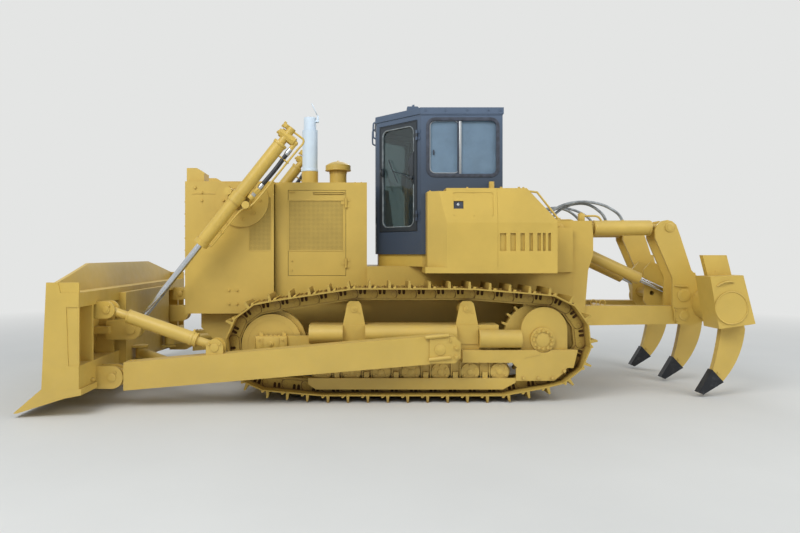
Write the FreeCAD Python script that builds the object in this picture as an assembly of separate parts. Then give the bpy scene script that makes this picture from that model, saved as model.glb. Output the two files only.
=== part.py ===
import FreeCAD, Part
import math
import os

# Crawler bulldozer with a straight blade, a closed cab and a three-shank ripper.
# X runs from the blade (minus) to the ripper (plus), the machine's left side is minus Y and
# Z is height above the ground. The origin is on the ground below the middle of the machine.
# All lengths are millimetres. Pieces are drawn for the right side and mirrored for the left.
V = FreeCAD.Vector

# Fits
PIN_FIT = 0.08          # radial gap of a pin in its hole
HINGE_PIN = 8.0
HINGE_KNUCKLE = 14.0
HINGE_OUT = 16.0        # from a panel's face to the axis of its hinges
HINGE_LEAF = 60.0
SEAT_GAP = 0.3          # gap between pieces that seat on each other
LUG_GAP = 6.0           # gap between a moving link and the lugs beside it

# Track chain
LINK_PITCH = 228.6
GAUGE = 2140.0          # between the middles of the two tracks
SHOE_WIDTH = 560.0
SHOE_THICK = 15.0
GROUSER_HEIGHT = 76.0
GROUSER_START = 34.0    # along the shoe from its pin
GROUSER_BASE = 36.0
GROUSER_TIP = 20.0
SHOE_DROP = 60.0        # from the pin line to the shoe's inner face
RAIL_RISE = 70.0        # from the pin line to the rail that the rollers run on
RAIL_INSIDE = 40.0      # from the middle of the track to the rail's inner side
RAIL_OUTSIDE = 95.0
BUSH_RADIUS = 30.0

# Wheels of one track
SPROCKET_TEETH = 25
SPROCKET_X = 1622.0
SPROCKET_RAISE = 98.0   # how far the sprocket lifts the chain off the straight run
TOOTH_TIP = 16.0        # tooth tip above the pin circle
IDLER_X = -1528.0
IDLER_PIN_RADIUS = 442.0
IDLER_RAISE = 54.0
IDLER_SHAFT = 60.0
ROLLER_RADIUS = 115.0
ROLLER_SHAFT = 60.0
ROLLER_CAP = 106.0
ROLLER_COUNT = 7
ROLLER_LINKS = 9        # whole links between the first and the last roller
ROLLER_LAST_X = 1122.0
CARRIER_X = (747.0, -566.0)
CARRIER_Z = 1066.0
CARRIER_RADIUS = 100.0
CARRIER_SHAFT = 40.0
CARRIER_FOOT = 130.0    # half width of a carrier roller's bracket
WHEEL_CLEARANCE = 3.5   # between a wheel at a bend of the chain and the rail
CARRIER_CLEARANCE = 8.0

TRACK_Y = GAUGE / 2
PIN_LINE_Z = GROUSER_HEIGHT + SHOE_THICK + SHOE_DROP
SPROCKET_PIN_RADIUS = LINK_PITCH / 2 / math.sin(2 * math.pi / SPROCKET_TEETH)
SPROCKET_Z = PIN_LINE_Z + SPROCKET_RAISE + SPROCKET_PIN_RADIUS
IDLER_Z = PIN_LINE_Z + IDLER_RAISE + IDLER_PIN_RADIUS
ROLLER_Z = PIN_LINE_Z + RAIL_RISE + ROLLER_RADIUS
ROLLER_FIRST_X = ROLLER_LAST_X - ROLLER_LINKS * LINK_PITCH
IDLER_TREAD = math.sqrt(IDLER_PIN_RADIUS ** 2 - LINK_PITCH ** 2 / 4) - RAIL_RISE - WHEEL_CLEARANCE
IDLER_FLANGE = IDLER_PIN_RADIUS - BUSH_RADIUS - 8.0
TRACK_TOP_Z = CARRIER_Z + CARRIER_RADIUS + RAIL_RISE + SHOE_DROP + SHOE_THICK + GROUSER_HEIGHT

# Track frame
FRAME_LEG = 32.0        # thickness of the side plates that hold the rollers
FRAME_HALF = 150.0      # half width of the frame
FRAME_BOTTOM = 490.0
FRAME_TOP = 878.0
FRAME_NOSE_Z = (580.0, 753.0)
IDLER_BLOCK = 184.0     # from the idler's shaft to the front end of its arm
ARCH_RADIUS = 269.0
ARCH_TOP_Z = 1085.0
HUB_RADIUS = 142.0
RECOIL_RADIUS = 105.0
GUARD_Z = (140.0, 270.0)
GUARD_THICK = 25.0
REAR_BOX_WIDTH = 70.0   # how far the rear box stands out from the frame
TRUNNION_X = 387.0
TRUNNION_Z = 650.0
TRUNNION_RADIUS = 65.0
TRUNNION_BOSS = 150.0

# Hull
HULL_HALF = GAUGE / 2 - SHOE_WIDTH / 2 - 230.0
UPPER_HULL_HALF = GAUGE / 2 - SHOE_WIDTH / 2 - 90.0
BELLY_Z = 500.0
HULL_TOP_Z = 1136.0
HULL_FRONT_X = -2500.0
HULL_REAR_X = 2129.0
DECK_Z = 1480.0
DECK_THICK = 70.0
DECK_FRONT_X = 262.0
FENDER_HALF = 1250.0

# Front end and engine enclosure
GUARD_FRONT_X = -2655.0
GUARD_REAR_X = -1560.0
GUARD_HALF = 750.0
GUARD_PLATE = 30.0
GUARD_MESH = (-1862.0, -1600.0, 1750.0, 2405.0)   # recess of the side's mesh in X and Z
GUARD_FLOOR_Z = 969.0
HOOD_TOP_Z = 2600.0
HOOD_HALF = 620.0
HOOD_PLATE = 25.0
HOOD_REAR_X = -411.0
DOOR_FRONT_X = -1399.0
DOOR_REAR_X = -673.0
DOOR_BOTTOM_Z = 1430.0
DOOR_TOP_Z = 2504.0
PANEL_GAP = 5.0
DOOR_MESH = (-1386.0, -710.0, 1750.0, 2370.0)     # recess of the mesh in X and Z
DOOR_MESH_DEPTH = 6.0
DOOR_SLOT = (-1086.0, -686.0, 2440.0, 2476.0)     # recess of the handle
DOOR_SLOT_DEPTH = 14.0
EXHAUST_X = -1171.0
EXHAUST_RADIUS = 102.0
EXHAUST_WALL = 10.0
EXHAUST_BASE_Z = 2807.0
EXHAUST_TOP_Z = 3533.0
RAIN_CAP_OPEN = 65.0    # degrees
RAIN_CAP_THICK = 8.0
PRECLEANER_X = -793.0
PRECLEANER_RADIUS = 168.0
PRECLEANER_NECK = 225.0     # heights above the hood
PRECLEANER_RIM = 288.0
PRECLEANER_DOME = 58.0
LAMP_LENGTH = 214.0
LAMP_HEIGHT = 172.0

# Cab
CAB_HALF = 900.0
CAB_FRONT_X = -285.0
CAB_FRONT_HALF = 300.0
CAB_CORNER_X = 242.0
CAB_REAR_X = 1230.0
CAB_FLOOR_Z = 1700.0
CAB_EAVES_Z = 3400.0
CAB_ROOF = 77.0
CAB_WALL = 60.0
GLASS = 8.0
DOOR_SILL_Z = 1980.0
DOOR_HEAD_Z = 3340.0
DOOR_POST = 62.0
CAB_DOOR_THICK = 45.0
SIDE_WINDOW = (323.0, 1174.0, 2650.0, 3339.0)
WINDOW_CORNER = 85.0
MULLION_X = (690.0, 715.0)
ROOF_LAMP = (90.0, 245.0, 600.0, 720.0, 53.0)    # X, Y and height of the lamps on the roof

# Side tanks
TANK_INNER = CAB_HALF + 8.0
TANK_FRONT_X = 297.0
TANK_STEP_X = 511.0
TANK_SLOPE_X = 1449.0
TANK_REAR_X = 1792.0
TANK_TOP_Z = 2473.0
TANK_STEP = 35.0
TANK_TAIL_Z = 2090.0
TANK_LEAN_Z = 2068.0    # the side leans inwards above this
TANK_LEAN = 55.0        # at the tank's top
TANK_CORNER = 120.0     # how far the front corner is cut back
TANK_PANEL = (592.0, 1055.0, 2143.0, 2421.0)
TANK_LATCH = (592.0, 708.0, 2230.0, 2322.0)
TANK_SEAM_X = 1099.0
TANK_CAP = (1076.0, 1000.0)
GRAB_RAIL = ((1462.0, 2440.0), (1575.0, 2425.0), (1825.0, 2110.0), (1780.0, 2060.0))
LOUVRE_Z = (1740.0, 1946.0)
# Start and width of each louvre
LOUVRES = ((1125.0, 73.0), (1246.0, 62.0), (1363.0, 49.0), (1466.0, 41.0), (1559.0, 40.0), (1623.0, 31.0),
           (1685.0, 30.0))

# Blade
BLADE_WIDTH = 4130.0
BLADE_TOP_Z = 1595.0
BLADE_END_Z = 1407.0
BLADE_BACK_X = -3411.0
BLADE_PLATE = 40.0
BLADE_SHOULDER = 967.0  # from the blade's end to where its raised middle starts
BLADE_FRONT = ((-3800.0, 300.0), (-3620.0, 880.0), (-3735.0, 1595.0))
EDGE_TIP = (-4094.0, 48.0)
END_PLATE = 30.0
WEAR_PLATE = 8.0        # doubling of the end plates along their front
EDGE_HEEL_X = -3386.0   # rear end of the end bits
EDGE_UNDER = (-3554.0, 205.0)   # where the end bits' underside bends
END_BIT = 420.0         # width of an end bit

# Push arms, braces
ARM_INNER = GAUGE / 2 + SHOE_WIDTH / 2 + 70.0
ARM_OUTER = ARM_INNER + 200.0
ARM_FRONT_X = -3108.0
ARM_FRONT_Z = (195.0, 505.0)
ARM_REAR_Z = (495.0, 805.0)
ARM_PIN = (-3241.0, 339.0)
ARM_CAP = ((-115.0, 225.0), (-150.0, 140.0))   # from the trunnion, along X and along Z
ARM_CAP_THICK = 14.0
BRACE_TOP = (-3306.0, 1084.0)
BRACE_FOOT = (-2106.0, 667.0)
BRACE_RADIUS = 77.0
BRACE_Y = (ARM_INNER + ARM_OUTER) / 2
LUG_THICK = 28.0
LUG_RADIUS = 95.0
LUG_PIN = 40.0

# Blade lift cylinders
LIFT_Y = 1080.0
LIFT_TRUNNION = (-1952.0, 2365.0)
LIFT_EYE = (-3180.0, 816.0)
LIFT_ABOVE = 836.0      # barrel above its trunnion
LIFT_BELOW = 700.0      # barrel below its trunnion
LIFT_BARREL = 78.0
LIFT_BORE = 60.0
LIFT_ROD = 38.0
LIFT_ROD_LENGTH = 1800.0
LIFT_EYE_PIN = 52.0
LIFT_NECK = (48.0, 220.0)       # radius and length of the manifold above the barrel
# Blocks across the manifold: beyond the barrel's end, reach to the front and to the rear, radius
LIFT_BLOCKS = ((100.0, 105.0, 137.0, 33.0), (192.0, 110.0, 20.0, 27.0))
LIFT_ELBOW = (28.0, 92.0)       # radius and drop of the elbow that the hose leaves
LIFT_HALF = 55.0        # half width of the rod's eye
YOKE_PLATE = (330.0, 22.0)      # radius and thickness of the round plate on the guard
YOKE_BOSS = 115.0
YOKE_PIN = 65.0
YOKE_SEAT = 930.0       # outer end of the boss, from the middle of the machine
YOKE_HUB = 135.0
YOKE_HUB_THICK = 60.0
YOKE_BAR = 46.0         # blocks in front of and behind the barrel

# Diagonal braces from the push arms to the middle of the blade
DIAGONAL_FOOT = (-2560.0, ARM_INNER, 430.0)
DIAGONAL_EYE = (-3230.0, 620.0, 470.0)
DIAGONAL_RADIUS = 62.0
BACK_BOX_X = -3330.0
BACK_BOX_HALF = 900.0

# Ripper: three pairs of plates, on the machine and on the beam, hold all its pins
RIPPER_PLATES = ((170.0, 200.0), (375.0, 410.0), (615.0, 650.0))
LINK_FRONT = (2165.0, 930.0)
LINK_REAR = (3544.0, 937.0)
LINK_FRONT_EYE = 125.0
LINK_REAR_EYE = 110.0
LINK_PIN = 55.0
LINK_TUBE = 90.0
TILT_REAR = (3367.0, 2036.0)
TILT_BARREL = 96.0
TILT_BARREL_RUN = (467.0, 1185.0)
TILT_ROD = 45.0
TILT_EYE = 80.0
TILT_PIN = 45.0
RIP_LIFT_FRONT = (2250.0, 1800.0)
RIP_LIFT_REAR = (3544.0, 1190.0)
RIP_LIFT_BARREL = 75.0
RIP_LIFT_LENGTH = 975.0
RIP_LIFT_BORE = 55.0
RIP_LIFT_ROD = 35.0
RIP_LIFT_ROD_LENGTH = 965.0
RIP_LIFT_EYE = 52.0
RIP_LIFT_PIN = 45.0
BEAM_TUBE = 207.0
BEAM_AXIS = (3847.0, 1088.0)
BEAM_HALF = 1200.0
# Each shank: its middle, then the inner and outer side of its holder
SHANKS = ((-1000.0, -1235.0, -885.0), (0.0, -115.0, 115.0), (1000.0, 885.0, 1235.0))
HOLDER_OUTLINE = ((3569.0, 1441.0), (3954.0, 1456.0), (4095.0, 891.0), (3674.0, 832.0))
BEAM_COVER = (3812.0, 1078.0)
BEAM_INNER_PLATE = ((3235.0, 1080.0), (3235.0, 1500.0), (3330.0, 1600.0), (3640.0, 1500.0), (3847.0, 1290.0),
                    (3847.0, 885.0), (3640.0, 815.0), (3460.0, 830.0))
BEAM_OUTER_PLATE = ((3405.0, 1050.0), (3405.0, 1400.0), (3190.0, 1900.0), (3185.0, 2000.0), (3215.0, 2070.0),
                    (3270.0, 2115.0), (3340.0, 2128.0), (3400.0, 2112.0), (3450.0, 2068.0), (3500.0, 1930.0),
                    (3640.0, 1500.0), (3847.0, 1290.0), (3847.0, 885.0), (3640.0, 815.0), (3460.0, 830.0))
SHANK_TOE = (3700.0, 317.0)
SHANK_HEEL = (3820.0, 188.0)
SHANK_BACK = (4036.0, 565.0)
SHANK_BELLY = (3760.0, 560.0)
POINT_TIP = ((3584.0, 30.0), (3527.0, 56.0))
SHANK_THICK = 80.0
SHANK_TOP_Z = 1690.0
TOW_HOLE = (3342.0, 1190.0)
TOW_RADIUS = 31.0
TOW_BUSH = 60.0
BRACKET_PLATE = 36.0
BRACKET_FRONT_X = 1890.0
BRACKET_TOP_Z = 2119.0
REAR_TOP_Z = 2300.0     # top of the rear housing behind the cab
REAR_STEP_Z = 1760.0    # top of the rear housing below the upper ripper pins
LOWER_REAR_X = 1990.0   # rear of the hull below the ripper links


def box(x0, x1, y0, y1, z0, z1):
    return Part.makeBox(x1 - x0, y1 - y0, z1 - z0, V(x0, y0, z0))


def extruded(corners, along):
    """The flat outline through the corners, made solid along a vector."""
    solid = Part.Face(Part.makePolygon(corners + corners[:1])).extrude(along)
    if solid.Volume < 0:
        solid.reverse()
    return solid


def side_plate(outline, y0, y1):
    """An outline of X and Z, from y0 to y1."""
    return extruded([V(x, y0, z) for x, z in outline], V(0, y1 - y0, 0))


def cross_plate(outline, x0, x1):
    """An outline of Y and Z, from x0 to x1."""
    return extruded([V(x0, y, z) for y, z in outline], V(x1 - x0, 0, 0))


def plan_plate(outline, z0, z1):
    """An outline of X and Y, from z0 to z1."""
    return extruded([V(x, y, z0) for x, y in outline], V(0, 0, z1 - z0))


def disc(at, radius, y0, y1):
    """A round piece whose axis runs along Y through a point of X and Z."""
    return Part.makeCylinder(radius, y1 - y0, V(at[0], y0, at[1]), V(0, 1, 0))


def ring(at, outer, inner, y0, y1):
    return disc(at, outer, y0, y1).cut(disc(at, inner, y0 - 1, y1 + 1))


def bar(start, end, radius):
    return Part.makeCylinder(radius, (end - start).Length, start, end - start)


def post(x, y, radius, z0, z1):
    return Part.makeCylinder(radius, z1 - z0, V(x, y, z0))


def joined(*shapes):
    return shapes[0].multiFuse(list(shapes[1:])).removeSplitter()


def without(shape, *tools):
    return shape.cut(Part.makeCompound(list(tools)))


def mirrored(shape):
    return shape.mirror(V(0, 0, 0), V(0, 1, 0))


def both(*shapes):
    """The shapes of the right side and their mirror images."""
    return list(shapes) + [mirrored(shape) for shape in shapes]


def toward(a, b):
    """Unit vector in X and Z from one point to another, and the distance."""
    reach = math.hypot(b[0] - a[0], b[1] - a[1])
    return ((b[0] - a[0]) / reach, (b[1] - a[1]) / reach), reach


def along(start, direction, distance):
    return (start[0] + direction[0] * distance, start[1] + direction[1] * distance)


def place(point, y):
    """The point of X and Z at a given Y."""
    return V(point[0], y, point[1])


def pins_of_chain():
    """The pins of the closed chain, in order under the rollers, up the sprocket and back.

    Each wheel is X, Z and the radius of the pin line round it.
    """
    wheels = [(ROLLER_FIRST_X, ROLLER_Z, ROLLER_RADIUS + RAIL_RISE),
              (ROLLER_LAST_X, ROLLER_Z, ROLLER_RADIUS + RAIL_RISE),
              (SPROCKET_X, SPROCKET_Z, SPROCKET_PIN_RADIUS)]
    wheels += [(x, CARRIER_Z, CARRIER_RADIUS + RAIL_RISE) for x in CARRIER_X]
    wheels.append((IDLER_X, IDLER_Z, IDLER_PIN_RADIUS))
    leaving = []
    for here, there in zip(wheels, wheels[1:] + wheels[:1]):
        (ux, uz), reach = toward(here, there)
        leaving.append(math.atan2(uz, ux) - math.acos((here[2] - there[2]) / reach))
    # Every span is its length, then a straight run (start, end) or an arc (wheel, angle)
    spans = []
    for i, angle in enumerate(leaving):
        nxt = (i + 1) % len(wheels)
        here = wheels[i]
        there = wheels[nxt]
        start = along(here, (math.cos(angle), math.sin(angle)), here[2])
        end = along(there, (math.cos(angle), math.sin(angle)), there[2])
        spans.append((toward(start, end)[1], start, end))
        turn = (leaving[nxt] - angle) % (2 * math.pi)
        spans.append((turn * there[2], there, angle))
    total = sum(span[0] for span in spans)

    def point(run):
        run = run % total
        for length, first, second in spans:
            if run <= length:
                break
            run -= length
        if isinstance(second, tuple):
            return along(first, toward(first, second)[0], run)
        angle = second + run / first[2]
        return along(first, (math.cos(angle), math.sin(angle)), first[2])

    def walk(pitch, links, start):
        """The chain's pins from the start, and how far along the last link ends."""
        run = start
        pins = []
        for _ in range(links):
            here = point(run)
            pins.append(here)
            low, high = run + pitch * 0.99, run + pitch * 1.2
            for _ in range(36):
                middle = (low + high) / 2
                if toward(here, point(middle))[1] < pitch:
                    low = middle
                else:
                    high = middle
            run = low
        return pins, run - start

    links = round(total / LINK_PITCH)
    start = spans[0][0] + spans[1][0] / 2
    low, high = 0.96 * total / links, total / links
    for _ in range(36):
        pitch = (low + high) / 2
        if walk(pitch, links, start)[1] < total:
            low = pitch
        else:
            high = pitch
    return walk(low, links, start)[0]


def link_normals(pins):
    """The outward unit vector of each link, from its pin to the next."""
    normals = []
    for here, there in zip(pins, pins[1:] + pins[:1]):
        (ux, uz), _ = toward(here, there)
        normals.append((uz, -ux))
    return normals


def chain_outline(pins, out):
    """The chain's polygon moved outwards, with mitred corners."""
    normals = link_normals(pins)
    corners = []
    for i, pin in enumerate(pins):
        a = normals[i - 1]
        b = normals[i]
        scale = out / (1 + a[0] * b[0] + a[1] * b[1])
        corners.append((pin[0] + (a[0] + b[0]) * scale, pin[1] + (a[1] + b[1]) * scale))
    return corners


def shoe_outline(pins):
    """Outer outline of the shoes: at each pin a corner, then one grouser."""
    face = SHOE_DROP + SHOE_THICK
    lean = (GROUSER_BASE - GROUSER_TIP) / 2
    # Along the link from its pin, and out from the pin line
    grouser = [(GROUSER_START, face),
               (GROUSER_START + lean, face + GROUSER_HEIGHT),
               (GROUSER_START + lean + GROUSER_TIP, face + GROUSER_HEIGHT),
               (GROUSER_START + GROUSER_BASE, face)]
    outline = []
    for corner, pin, normal in zip(chain_outline(pins, face), pins, link_normals(pins)):
        outline.append(corner)
        for run, out in grouser:
            outline.append((pin[0] - normal[1] * run + normal[0] * out,
                            pin[1] + normal[0] * run + normal[1] * out))
    return outline


def track(pins):
    """One fixed loop: shoes with grousers, two rails of links, and the bushes between them."""
    inner_face = chain_outline(pins, SHOE_DROP)
    rail = chain_outline(pins, -RAIL_RISE)
    y0 = TRACK_Y - SHOE_WIDTH / 2
    y1 = TRACK_Y + SHOE_WIDTH / 2
    shoes = side_plate(shoe_outline(pins), y0, y1).cut(side_plate(inner_face, y0 - 1, y1 + 1))
    pieces = [shoes]
    for near, far in ((-RAIL_OUTSIDE, -RAIL_INSIDE), (RAIL_INSIDE, RAIL_OUTSIDE)):
        y0 = TRACK_Y + near
        y1 = TRACK_Y + far
        pieces.append(side_plate(inner_face, y0, y1).cut(side_plate(rail, y0 - 1, y1 + 1)))
    for pin in pins:
        turns = [math.radians(60 * i) for i in range(6)]
        corners = [along(pin, (math.cos(turn), math.sin(turn)), BUSH_RADIUS) for turn in turns]
        pieces.append(side_plate(corners, TRACK_Y - RAIL_INSIDE, TRACK_Y + RAIL_INSIDE))
    return joined(*pieces)


def sprocket(pins):
    """Toothed rim between the rails, its hub outside and the bolted cover."""
    centre = (SPROCKET_X, SPROCKET_Z)
    rearmost = max(pins)
    first_gap = math.atan2(rearmost[1] - SPROCKET_Z, rearmost[0] - SPROCKET_X)
    root = SPROCKET_PIN_RADIUS - BUSH_RADIUS - 6.0
    tip = SPROCKET_PIN_RADIUS + TOOTH_TIP
    step = 2 * math.pi / SPROCKET_TEETH
    # Radius, and angle from the gap's middle as a share of the tooth pitch
    gap = ((tip, -0.40), (root, -0.35), (root, 0.35), (tip, 0.40))
    outline = []
    for tooth in range(SPROCKET_TEETH):
        for radius, share in gap:
            angle = first_gap + (tooth + share) * step
            outline.append(along(centre, (math.cos(angle), math.sin(angle)), radius))
    half = RAIL_INSIDE - LUG_GAP
    rim = side_plate(outline, TRACK_Y - half, TRACK_Y + half)
    leg = TRACK_Y + FRAME_HALF - FRAME_LEG
    hub = disc(centre, HUB_RADIUS - 10, TRACK_Y + half, leg)
    cover = disc(centre, HUB_RADIUS, leg + FRAME_LEG, leg + FRAME_LEG + 35)
    return [joined(rim, hub), cover]


def final_drive():
    centre = (SPROCKET_X, SPROCKET_Z)
    seat = TRACK_Y - RAIL_INSIDE + LUG_GAP
    return joined(disc(centre, 330, HULL_HALF, seat - 150), disc(centre, 250, seat - 150, seat))


def idler():
    """Drum with a guide flange round its middle, closed sides, hub and shaft."""
    centre = (IDLER_X, IDLER_Z)
    rim = ring(centre, IDLER_TREAD, IDLER_TREAD - 70, TRACK_Y - RAIL_OUTSIDE, TRACK_Y + RAIL_OUTSIDE)
    flange = ring(centre, IDLER_FLANGE, IDLER_TREAD - 70, TRACK_Y - RAIL_INSIDE + LUG_GAP,
                  TRACK_Y + RAIL_INSIDE - LUG_GAP)
    web = disc(centre, IDLER_TREAD - 69, TRACK_Y - RAIL_OUTSIDE + 4, TRACK_Y + RAIL_OUTSIDE - 4)
    hub = disc(centre, IDLER_SHAFT * 2, TRACK_Y - RAIL_OUTSIDE, TRACK_Y + RAIL_OUTSIDE)
    shaft = disc(centre, IDLER_SHAFT, TRACK_Y - FRAME_HALF, TRACK_Y + FRAME_HALF)
    return joined(rim, flange, web, hub, shaft)


def roller_places():
    step = (ROLLER_LAST_X - ROLLER_FIRST_X) / (ROLLER_COUNT - 1)
    return [(ROLLER_FIRST_X + step * i, ROLLER_Z) for i in range(ROLLER_COUNT)]


def bottom_roller(at, clearance):
    """Two treads with outer flanges on one shaft, and the bolted cap outside the frame."""
    leg = FRAME_HALF - FRAME_LEG
    tread = ROLLER_RADIUS - clearance
    pieces = [disc(at, ROLLER_SHAFT, TRACK_Y - FRAME_HALF, TRACK_Y + FRAME_HALF),
              disc(at, tread, TRACK_Y - RAIL_OUTSIDE, TRACK_Y + RAIL_OUTSIDE),
              disc(at, ROLLER_CAP, TRACK_Y + FRAME_HALF, TRACK_Y + FRAME_HALF + 26)]
    for side in (-1, 1):
        y0, y1 = sorted((TRACK_Y + side * (RAIL_OUTSIDE + 2), TRACK_Y + side * (leg - 3)))
        pieces.append(disc(at, tread + 20, y0, y1))
        y0, y1 = sorted((TRACK_Y + side * RAIL_OUTSIDE, TRACK_Y + side * (RAIL_OUTSIDE + 2)))
        pieces.append(disc(at, tread, y0, y1))
    return joined(*pieces)


def carrier_roller(x):
    at = (x, CARRIER_Z)
    wheel = disc(at, CARRIER_RADIUS - CARRIER_CLEARANCE, TRACK_Y - RAIL_OUTSIDE, TRACK_Y + RAIL_OUTSIDE)
    shaft = disc(at, CARRIER_SHAFT, TRACK_Y - RAIL_OUTSIDE, TRACK_Y + FRAME_HALF + 12)
    return joined(wheel, shaft)


def track_frame():
    """Box frame with the arms of the idler, the legs of the rollers, guards and trunnion."""
    y0 = TRACK_Y - FRAME_HALF
    y1 = TRACK_Y + FRAME_HALF
    nose = IDLER_X + IDLER_FLANGE + 35
    tail = SPROCKET_X - SPROCKET_PIN_RADIUS - TOOTH_TIP - 30
    rollers = roller_places()
    pieces = [box(nose, tail, y0, y1, FRAME_BOTTOM, FRAME_TOP)]
    for near, far in ((y0, y0 + FRAME_LEG), (y1 - FRAME_LEG, y1)):
        legs = box(ROLLER_FIRST_X - 120, ROLLER_LAST_X + 90, near, far, ROLLER_Z - 45, FRAME_BOTTOM)
        arm = box(IDLER_X - IDLER_BLOCK, nose, near, far, *FRAME_NOSE_Z)
        pieces += [legs, arm]
    for x in CARRIER_X:
        outline = ((x - CARRIER_FOOT, FRAME_TOP), (x + CARRIER_FOOT, FRAME_TOP), (x + 80, CARRIER_Z + 60),
                   (x + 50, CARRIER_Z + 90), (x - 50, CARRIER_Z + 90), (x - 80, CARRIER_Z + 60))
        pieces.append(side_plate(outline, y1 - FRAME_LEG, y1))
        pieces.append(box(x - CARRIER_FOOT, x + CARRIER_FOOT, y1 - 1, y1 + 12, FRAME_TOP - 220, FRAME_TOP))
    # The bearing block of the idler
    pieces.append(box(IDLER_X - IDLER_BLOCK, IDLER_X + IDLER_BLOCK, y1, y1 + 35, *FRAME_NOSE_Z))
    # The box beside the sprocket, stepped over the caps of the last rollers
    box_top = SPROCKET_Z - 114
    box_low = SPROCKET_Z - 319
    step_z = ROLLER_Z + ROLLER_CAP + 8
    step_x = ROLLER_LAST_X + ROLLER_CAP + 30
    outline = ((ROLLER_LAST_X - 437, step_z), (step_x, step_z), (step_x + 60, box_low),
               (SPROCKET_X + 343, box_low), (SPROCKET_X + 393, box_top), (ROLLER_LAST_X - 437, box_top))
    pieces.append(side_plate(outline, y1 - FRAME_LEG, y1 + REAR_BOX_WIDTH))
    outline = ((step_x + 45, box_low - 148), (SPROCKET_X + 120, box_low - 148), (SPROCKET_X + 218, box_low - 66),
               (SPROCKET_X + 270, box_low), (step_x + 45, box_low))
    pieces.append(side_plate(outline, y1 + REAR_BOX_WIDTH - GUARD_THICK, y1 + REAR_BOX_WIDTH))
    # The housings of the recoil rod, of its spring and of its end stop: front end, rear end, height
    housing_y = y1 + 20
    housing_z = FRAME_TOP - RECOIL_RADIUS + 2
    for start, end, z in ((nose + 4, CARRIER_X[1] - CARRIER_FOOT, housing_z),
                          (CARRIER_X[1] + CARRIER_FOOT, CARRIER_X[0] - CARRIER_FOOT, housing_z),
                          (CARRIER_X[0] + CARRIER_FOOT + 5, tail + 250, box_top + 20 + RECOIL_RADIUS)):
        pieces.append(bar(V(start, housing_y, z), V(end, housing_y, z), RECOIL_RADIUS))
    # The arched guard of the final drive
    arch_x = SPROCKET_X + 24
    arch_z = ARCH_TOP_Z - ARCH_RADIUS
    arch = box(arch_x - ARCH_RADIUS, arch_x + ARCH_RADIUS, y1 - FRAME_LEG, y1, box_top, arch_z)
    pieces += [arch, disc((arch_x, arch_z), ARCH_RADIUS, y1 - FRAME_LEG, y1)]
    # The roller guard on blocks between the rollers
    low, high = GUARD_Z
    first = rollers[0][0] - 160
    last = rollers[-1][0] + 180
    guard_y = y1 + 36
    outline = ((first, high), (first, low + 60), (first + 90, low), (last - 150, low),
               (last, low + 80), (last, high))
    pieces.append(side_plate(outline, guard_y, guard_y + GUARD_THICK))
    for left, right in zip(rollers, rollers[1:]):
        middle = (left[0] + right[0]) / 2
        pieces.append(box(middle - 30, middle + 30, y1, guard_y, high - 60, ROLLER_Z))
    # The trunnion of the push arm
    trunnion = (TRUNNION_X, TRUNNION_Z)
    shoulder = TRACK_Y + SHOE_WIDTH / 2 - 10
    pieces.append(disc(trunnion, TRUNNION_BOSS, y1, shoulder))
    pieces.append(disc(trunnion, TRUNNION_RADIUS, shoulder, ARM_OUTER + 15))
    holes = [disc((IDLER_X, IDLER_Z), IDLER_SHAFT + PIN_FIT, y0 - 1, y1)]
    holes += [disc((x, CARRIER_Z), CARRIER_SHAFT + PIN_FIT, y0 - 1, y1 + 50) for x in CARRIER_X]
    holes += [disc(at, ROLLER_SHAFT + PIN_FIT, y0 - 1, y1) for at in rollers]
    holes.append(disc((SPROCKET_X, SPROCKET_Z), HUB_RADIUS + 3, y1, y1 + REAR_BOX_WIDTH + 1))
    return without(joined(*pieces), *holes)


def main_frame():
    """Hull with its belly guard, the raised rear part, pivot shafts and the deck over the tracks."""
    outline = ((HULL_FRONT_X, GUARD_FLOOR_Z), (HULL_FRONT_X, 780), (HULL_FRONT_X + 260, BELLY_Z + 30),
               (HULL_FRONT_X + 600, BELLY_Z), (LOWER_REAR_X - 200, BELLY_Z), (LOWER_REAR_X, 700),
               (LOWER_REAR_X, HULL_TOP_Z), (GUARD_REAR_X, HULL_TOP_Z), (GUARD_REAR_X, GUARD_FLOOR_Z))
    hull = side_plate(outline, -HULL_HALF, HULL_HALF)
    upper = box(HOOD_REAR_X, HULL_REAR_X, -UPPER_HULL_HALF, UPPER_HULL_HALF, HULL_TOP_Z, DECK_Z)
    shafts = []
    frame_side = TRACK_Y - FRAME_HALF
    for x, radius in ((IDLER_X + 760, 70), (SPROCKET_X - 620, 90)):
        shafts.append(disc((x, TRUNNION_Z), radius, -frame_side, frame_side))
    return joined(hull, upper, *shafts)


def cab_plan(inset):
    """The cab's outline in plan, moved inwards by a wall."""
    corners = [(CAB_FRONT_X, -CAB_FRONT_HALF), (CAB_FRONT_X, CAB_FRONT_HALF), (CAB_CORNER_X, CAB_HALF),
               (CAB_REAR_X, CAB_HALF), (CAB_REAR_X, -CAB_HALF), (CAB_CORNER_X, -CAB_HALF)]
    moved = []
    for i, corner in enumerate(corners):
        before, _ = toward(corners[i - 1], corner)
        after, _ = toward(corner, corners[(i + 1) % len(corners)])
        a = (before[1], -before[0])
        b = (after[1], -after[0])
        scale = inset / (1 + a[0] * b[0] + a[1] * b[1])
        moved.append((corner[0] + (a[0] + b[0]) * scale, corner[1] + (a[1] + b[1]) * scale))
    return moved


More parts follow.
